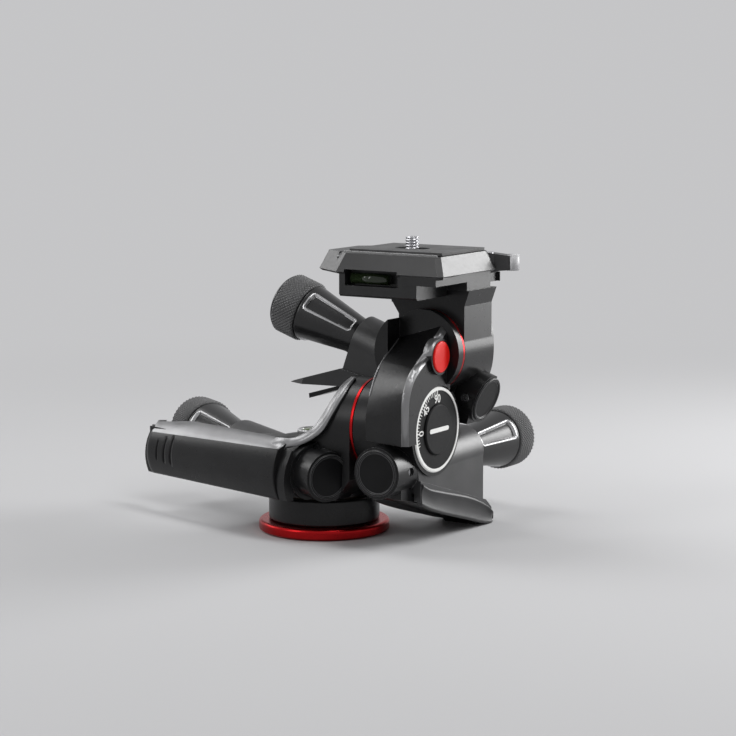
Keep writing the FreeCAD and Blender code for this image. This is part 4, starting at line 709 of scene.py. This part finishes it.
INLAY_RISE = 0.06 * MM
INLAY_DEPTH = 0.5 * MM
INLAY_FLAT_ANGLE = math.radians(0.5)
FLANK_LEAN = (0.45, 0.8)
FLANK_LEFT, FLANK_FOOT = 0.055, 0.045
BOSS_ACROSS = (-0.0098, 0.002)
BOSS_LEFT, BOSS_FOOT = 0.0565, 0.0835
LEVER_TIP_START = 0.0742


def inlay(name, node, body, chosen, finish):
    """A thin facing over the chosen faces of a CAD node."""
    mesh = bmesh.new()
    mesh.from_mesh(NODES[node].data)
    others = [face for face in mesh.faces if not chosen(face)]
    bmesh.ops.delete(mesh, geom=others, context="FACES")
    bmesh.ops.remove_doubles(mesh, verts=mesh.verts, dist=WELD_REACH)
    mesh.normal_update()
    bmesh.ops.dissolve_limit(mesh, angle_limit=INLAY_FLAT_ANGLE,
                             verts=mesh.verts, edges=mesh.edges)
    made = bpy.data.meshes.new(name)
    mesh.to_mesh(made)
    mesh.free()
    piece = add_piece(name, made, body, finish)
    piece.data.shade_smooth()
    skin = piece.modifiers.new("skin", "SOLIDIFY")
    skin.thickness = INLAY_RISE + INLAY_DEPTH
    skin.offset = 2 * INLAY_RISE / (INLAY_RISE + INLAY_DEPTH) - 1
    skin.use_even_offset = True


def on_middle_band(face):
    """Faces that get a painted highlight facing: the bevel between the curved arm's front and
    its dial side, and its way round the cap.
    """
    normal, spot = face.normal, face.calc_center_median()
    if FLANK_LEAN[0] < normal.x < FLANK_LEAN[1] and normal.y < -0.3:
        if spot.x > FLANK_LEFT and spot.z > FLANK_FOOT:
            return True
    if abs(normal.x) < 0.1 and normal.z > 0.15 and normal.y < 0.1:
        return (BOSS_ACROSS[0] < spot.y < BOSS_ACROSS[1]
                and spot.x > BOSS_LEFT and spot.z > BOSS_FOOT)
    return False


def on_lever_tip(face):
    """The far end of the quick lever."""
    return face.calc_center_median().x > LEVER_TIP_START


BEAD_X = 36.45
BEAD_RADIUS = 0.42
BEAD_SIDES = 12
BEAD_PATH = ((-18.7, 66.4), (-17.8, 68.6), (-12.95, 76.5), (-6, 82.4), (-2.4, 84.5),
             (3.7, 88.3), (5.6, 89.5))


def edge_bead_mesh():
    """A thin bead along the curved arm's inner front edge, in the band's finish: a painted
    highlight line.
    """
    path = flowing([Vector((BEAD_X, *point)) for point in BEAD_PATH])
    loops = []
    for before, spot, after in zip([path[0], *path], path, [*path[1:], path[-1]]):
        out = (after - before).normalized().cross(Vector((1, 0, 0)))
        loop = []
        for k in range(BEAD_SIDES):
            angle = TAU * k / BEAD_SIDES
            way = out * math.sin(angle) + Vector((math.cos(angle), 0, 0))
            loop.append((spot + way * BEAD_RADIUS) * MM)
        loops.append(loop)
    return closed_mesh("curved_arm_edge_highlight", loops)


add_piece("curved_arm_edge_highlight", edge_bead_mesh(), "middle_body", HIGHLIGHT_BAND)
# A facing in the highlight band finish over that bevel, as a painted highlight.
inlay("curved_arm_band_highlight", "middle_housing", "middle_body", on_middle_band, HIGHLIGHT_BAND)
inlay("quick_lever_tip", "quick_lever", "quick_lever_body", on_lever_tip, LIGHT_TIP)


HEM_MIDDLE = 47.0
HEM_TOP = ((-12.2, 27.8), (-5, 24.5), (10, 20.5), (29.8, 15.2), (44.8, 9.4), (53.6, 3.6),
           (57.0, 0.5))
HEM_BOTTOM = ((-12.8, 18.8), (-4.9, 15.4), (10, 10.6), (29.8, 4.9), (44.8, 0.7), (54, -0.1),
              (57.6, -0.4))
HEM_SECTION = ((10.6, -0.09), (12.7, -0.05), (13.3, 0.0), (13.35, 0.06), (13.0, 0.13),
               (12.6, 0.24), (12.4, 0.45), (12.45, 0.68), (12.8, 0.86), (12.95, 0.94),
               (12.6, 1.0), (10.4, 1.0), (10.2, 0.5))
HEM_TRIM_START = 51.4
HEM_TRIM_SLOPE = 0.57


def hem_mesh(way):
    """The rolled hem along one side of the lower release lever's skirt."""
    upper = flowing([Vector((0, *point)) for point in HEM_TOP])
    lower = flowing([Vector((0, *point)) for point in HEM_BOTTOM])
    loops = []
    for a, b in zip(upper, lower):
        loop = []
        for reach, share in HEM_SECTION:
            spot = a + (b - a) * share
            inset = max(0.0, spot.y - HEM_TRIM_START) * HEM_TRIM_SLOPE
            loop.append(Vector((HEM_MIDDLE + way * (reach - inset), spot.y, spot.z)) * MM)
        loops.append(loop)
    return closed_mesh("lower_lever_hem", loops)


for side, way in (("outer", 1), ("inner", -1)):
    add_piece(f"lower_lever_{side}_hem", hem_mesh(way), "lower_lever_body", LEVER)


# ---------------------------------------------------------------------- camera screw

THREAD_PITCH = 1.27 * MM
THREAD_DEPTH = 0.6 * MM
THREAD_STEPS = 64
SCREW_FOOT, SCREW_HEAD_TOP = 122.1 * MM, 124.7 * MM
THREAD_START, SCREW_TOP = 129.4 * MM, 135.2 * MM
SCREW_HEAD, SCREW_NECK, SCREW_CREST = 8 * MM, 2.6 * MM, 3.175 * MM
SCREW_AXIS = 0.2 * MM
SCREW_CHAMFER = 0.3 * MM
SCREW_POINT = 0.5 * MM
SCREW_COLUMNS = 72


def screw_mesh():
    """The camera screw: its flat head, its neck and a rolled thread."""
    place = along("camera_screw_turn")
    place.translation.z = 0
    rows = [(SCREW_AXIS, SCREW_FOOT, False), (SCREW_HEAD - SCREW_CHAMFER, SCREW_FOOT, False),
            (SCREW_HEAD, SCREW_FOOT + SCREW_CHAMFER, False),
            (SCREW_HEAD, SCREW_HEAD_TOP - SCREW_CHAMFER, False),
            (SCREW_HEAD - SCREW_CHAMFER, SCREW_HEAD_TOP, False),
            (SCREW_NECK, SCREW_HEAD_TOP, False), (SCREW_NECK, THREAD_START, False)]
    for k in range(THREAD_STEPS + 1):
        height = THREAD_START + (SCREW_TOP - THREAD_START) * k / THREAD_STEPS
        radius = min(SCREW_CREST, SCREW_CREST - SCREW_POINT + SCREW_TOP - height)
        rows.append((radius, height, True))
    rows.append((SCREW_AXIS, SCREW_TOP, False))
    loops = []
    for radius, height, threaded in rows:
        loop = []
        for column in range(SCREW_COLUMNS):
            turn = column / SCREW_COLUMNS
            reach = radius
            if threaded:
                groove = THREAD_DEPTH * triangle_wave(height / THREAD_PITCH - turn)
                reach = min(radius, SCREW_CREST - groove)
            loop.append(on_circle(place, reach, TAU * turn, height))
        loops.append(loop)
    return closed_mesh("threaded_screw", loops)


screw = add_piece("threaded_camera_screw", screw_mesh(), "camera_screw_body", STEEL)
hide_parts("camera_screw")


# ------------------------------------------------------------------- print on the dial

DIAL_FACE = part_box("dial_plate")[1].x
POINTER_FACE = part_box("dial_pointer")[1].x
OUT_OF_DIAL = Vector((1, 0, 0))
PRINT_HEIGHT = 0.08 * MM
TICK_DEGREES = 5
TICK_FIRST, TICK_LAST = -4, 18
TICK_FOOT, TICK_TIP = 15.8 * MM, 17.45 * MM
TICK_LONGER = 0.45 * MM
TICK_HALF, WIDE_TICK_HALF = 0.17 * MM, 0.26 * MM
NUMBER_RADIUS = 13.6 * MM
NUMBER_SIZE = 5.2 * MM
NUMBER_WEIGHT = 0.06 * MM
BAR_REACH, BAR_HALF, BAR_RISE = 8.2 * MM, 1.0 * MM, 0.15 * MM
BAR_END_STEPS = 8


def dial_angle(degrees):
    """The dial's own degrees as an angle from +Y towards +Z."""
    return math.pi - math.radians(degrees)


def dial_spot(face, angle, radius):
    """A point on the dial: angle from +Y towards +Z."""
    return Vector((face, LOWER_AXIS.y + radius * math.cos(angle),
                   LOWER_AXIS.z + radius * math.sin(angle)))


def add_slab(mesh, corners, thickness):
    """A thin plate on given corners, raised off the dial."""
    low = [mesh.verts.new(c) for c in corners]
    high = [mesh.verts.new(c + OUT_OF_DIAL * thickness) for c in corners]
    count = len(corners)
    mesh.faces.new(reversed(low))
    mesh.faces.new(high)
    for k in range(count):
        n = (k + 1) % count
        mesh.faces.new((low[k], low[n], high[n], high[k]))


def tick_mesh():
    """The dial's ticks: every third one is longer, and every ninth is wider too."""
    mesh = bmesh.new()
    for step in range(TICK_FIRST, TICK_LAST + 1):
        angle = dial_angle(TICK_DEGREES * step)
        foot = TICK_FOOT - (TICK_LONGER if step % 3 == 0 else 0)
        half = WIDE_TICK_HALF if step % 9 == 0 else TICK_HALF
        side = Vector((0, -math.sin(angle), math.cos(angle))) * half
        a, b = dial_spot(DIAL_FACE, angle, foot), dial_spot(DIAL_FACE, angle, TICK_TIP)
        add_slab(mesh, [a - side, b - side, b + side, a + side], PRINT_HEIGHT)
    return finished(mesh, "dial_ticks")


def number_mesh(degrees):
    """A number printed on the dial, its foot towards the centre."""
    curve = bpy.data.curves.new(f"number_{degrees}", "FONT")
    curve.body = str(degrees)
    curve.size = NUMBER_SIZE
    curve.align_x = "CENTER"
    curve.align_y = "CENTER"
    curve.extrude = PRINT_HEIGHT / 2
    curve.offset = NUMBER_WEIGHT
    drawn = bpy.data.objects.new(f"number_{degrees}", curve)
    bpy.context.scene.collection.objects.link(drawn)
    bpy.context.view_layer.update()
    solid = drawn.evaluated_get(bpy.context.evaluated_depsgraph_get())
    made = bpy.data.meshes.new_from_object(solid)
    bpy.data.objects.remove(drawn)
    angle = dial_angle(degrees)
    outward = Vector((0, math.cos(angle), math.sin(angle)))
    sideways = Vector((0, math.sin(angle), -math.cos(angle)))
    turn = Matrix((sideways, outward, sideways.cross(outward))).transposed().to_4x4()
    turn.translation = dial_spot(DIAL_FACE + PRINT_HEIGHT / 2, angle, NUMBER_RADIUS)
    made.transform(turn)
    return made


def bar_mesh():
    """The white bar across the pointer disc, with round ends."""
    corners = []
    for end, way in ((0, 1), (1, -1)):
        middle = LOWER_AXIS.y + way * (BAR_REACH - BAR_HALF)
        for step in range(BAR_END_STEPS + 1):
            angle = -math.pi / 2 + math.pi * step / BAR_END_STEPS + math.pi * end
            corners.append(Vector((POINTER_FACE, middle + BAR_HALF * math.cos(angle),
                                   LOWER_AXIS.z + BAR_HALF * math.sin(angle))))
    mesh = bmesh.new()
    add_slab(mesh, corners, BAR_RISE)
    return finished(mesh, "pointer_bar")


add_piece("dial_ticks", tick_mesh(), "middle_body", WHITE)
for degrees in (0, 45, 90):
    add_piece(f"dial_number_{degrees}", number_mesh(degrees), "middle_body", WHITE)
add_piece("pointer_bar", bar_mesh(), "pan_body", WHITE)


# ----------------------------------------------------------------------------- stage

FLOOR_SIZE = 6
FLOOR_LEVEL = -0.3 * MM
FLOOR_CLOUD_SIZE = 0.25
FADE_START, FADE_END = 0.16, 0.75


def add_floor():
    """A pale floor that runs out into the backdrop's own colour."""
    made = Finish("floor_pale", PALE, 0.8, Specular_IOR_Level=0.2)
    low = tuple(c * 0.98 for c in PALE)
    made.vary("Base Color", made.noise(FLOOR_CLOUD_SIZE, 2), (0.3, low), (0.7, PALE))
    place = made.node("ShaderNodeNewGeometry").outputs["Position"]
    reach = made.node("ShaderNodeVectorMath", operation="LENGTH")
    made.link(place, reach.inputs[0])
    far = made.node("ShaderNodeMapRange", interpolation_type="SMOOTHSTEP")
    far.inputs["From Min"].default_value = FADE_START
    far.inputs["From Max"].default_value = FADE_END
    made.link(reach.outputs["Value"], far.inputs["Value"])
    share = made.node("ShaderNodeMath", operation="MULTIPLY")
    made.link(far.outputs["Result"], share.inputs[0])
    made.link(shown_rays(made.tree), share.inputs[1])
    glow = made.node("ShaderNodeEmission")
    glow.inputs["Color"].default_value = (*PALE, 1)
    glow.inputs["Strength"].default_value = 1.0
    mix = made.node("ShaderNodeMixShader")
    made.link(share.outputs[0], mix.inputs["Fac"])
    made.link(made.shader.outputs[0], mix.inputs[1])
    made.link(glow.outputs[0], mix.inputs[2])
    made.link(mix.outputs[0], made.tree.nodes["Material Output"].inputs["Surface"])
    mesh = bpy.data.meshes.new("floor")
    corners = [(x * FLOOR_SIZE, y * FLOOR_SIZE, 0)
               for x, y in ((-1, -1), (1, -1), (1, 1), (-1, 1))]
    mesh.from_pydata(corners, [], [(0, 1, 2, 3)])
    mesh.materials.append(made.material)
    floor = bpy.data.objects.new("floor", mesh)
    bpy.context.scene.collection.objects.link(floor)
    floor.location.z = FLOOR_LEVEL


add_floor()
add_world()
add_camera()
add_lamp("right_softbox", (0.66, 1.05, 0.50), (0.6, 0.4), 4.2)
add_lamp("right_card", (0.40, 0.60, 0.24), (0.45, 0.42), 3.4)
add_lamp("left_softbox", (-1.12, 0.0, 0.54), (0.85, 0.28), 2.9)
add_lamp("front_softbox", (-0.42, -0.92, 0.62), (0.25, 0.6), 2.5)
add_lamp("top_right_softbox", (0.56, -0.06, 1.0), (0.28, 0.6), 4)
add_lamp("top_left_softbox", (-0.5, 0.0, 0.95), (0.4, 0.5), 2.5)
bpy.context.scene.view_settings.view_transform = "Standard"
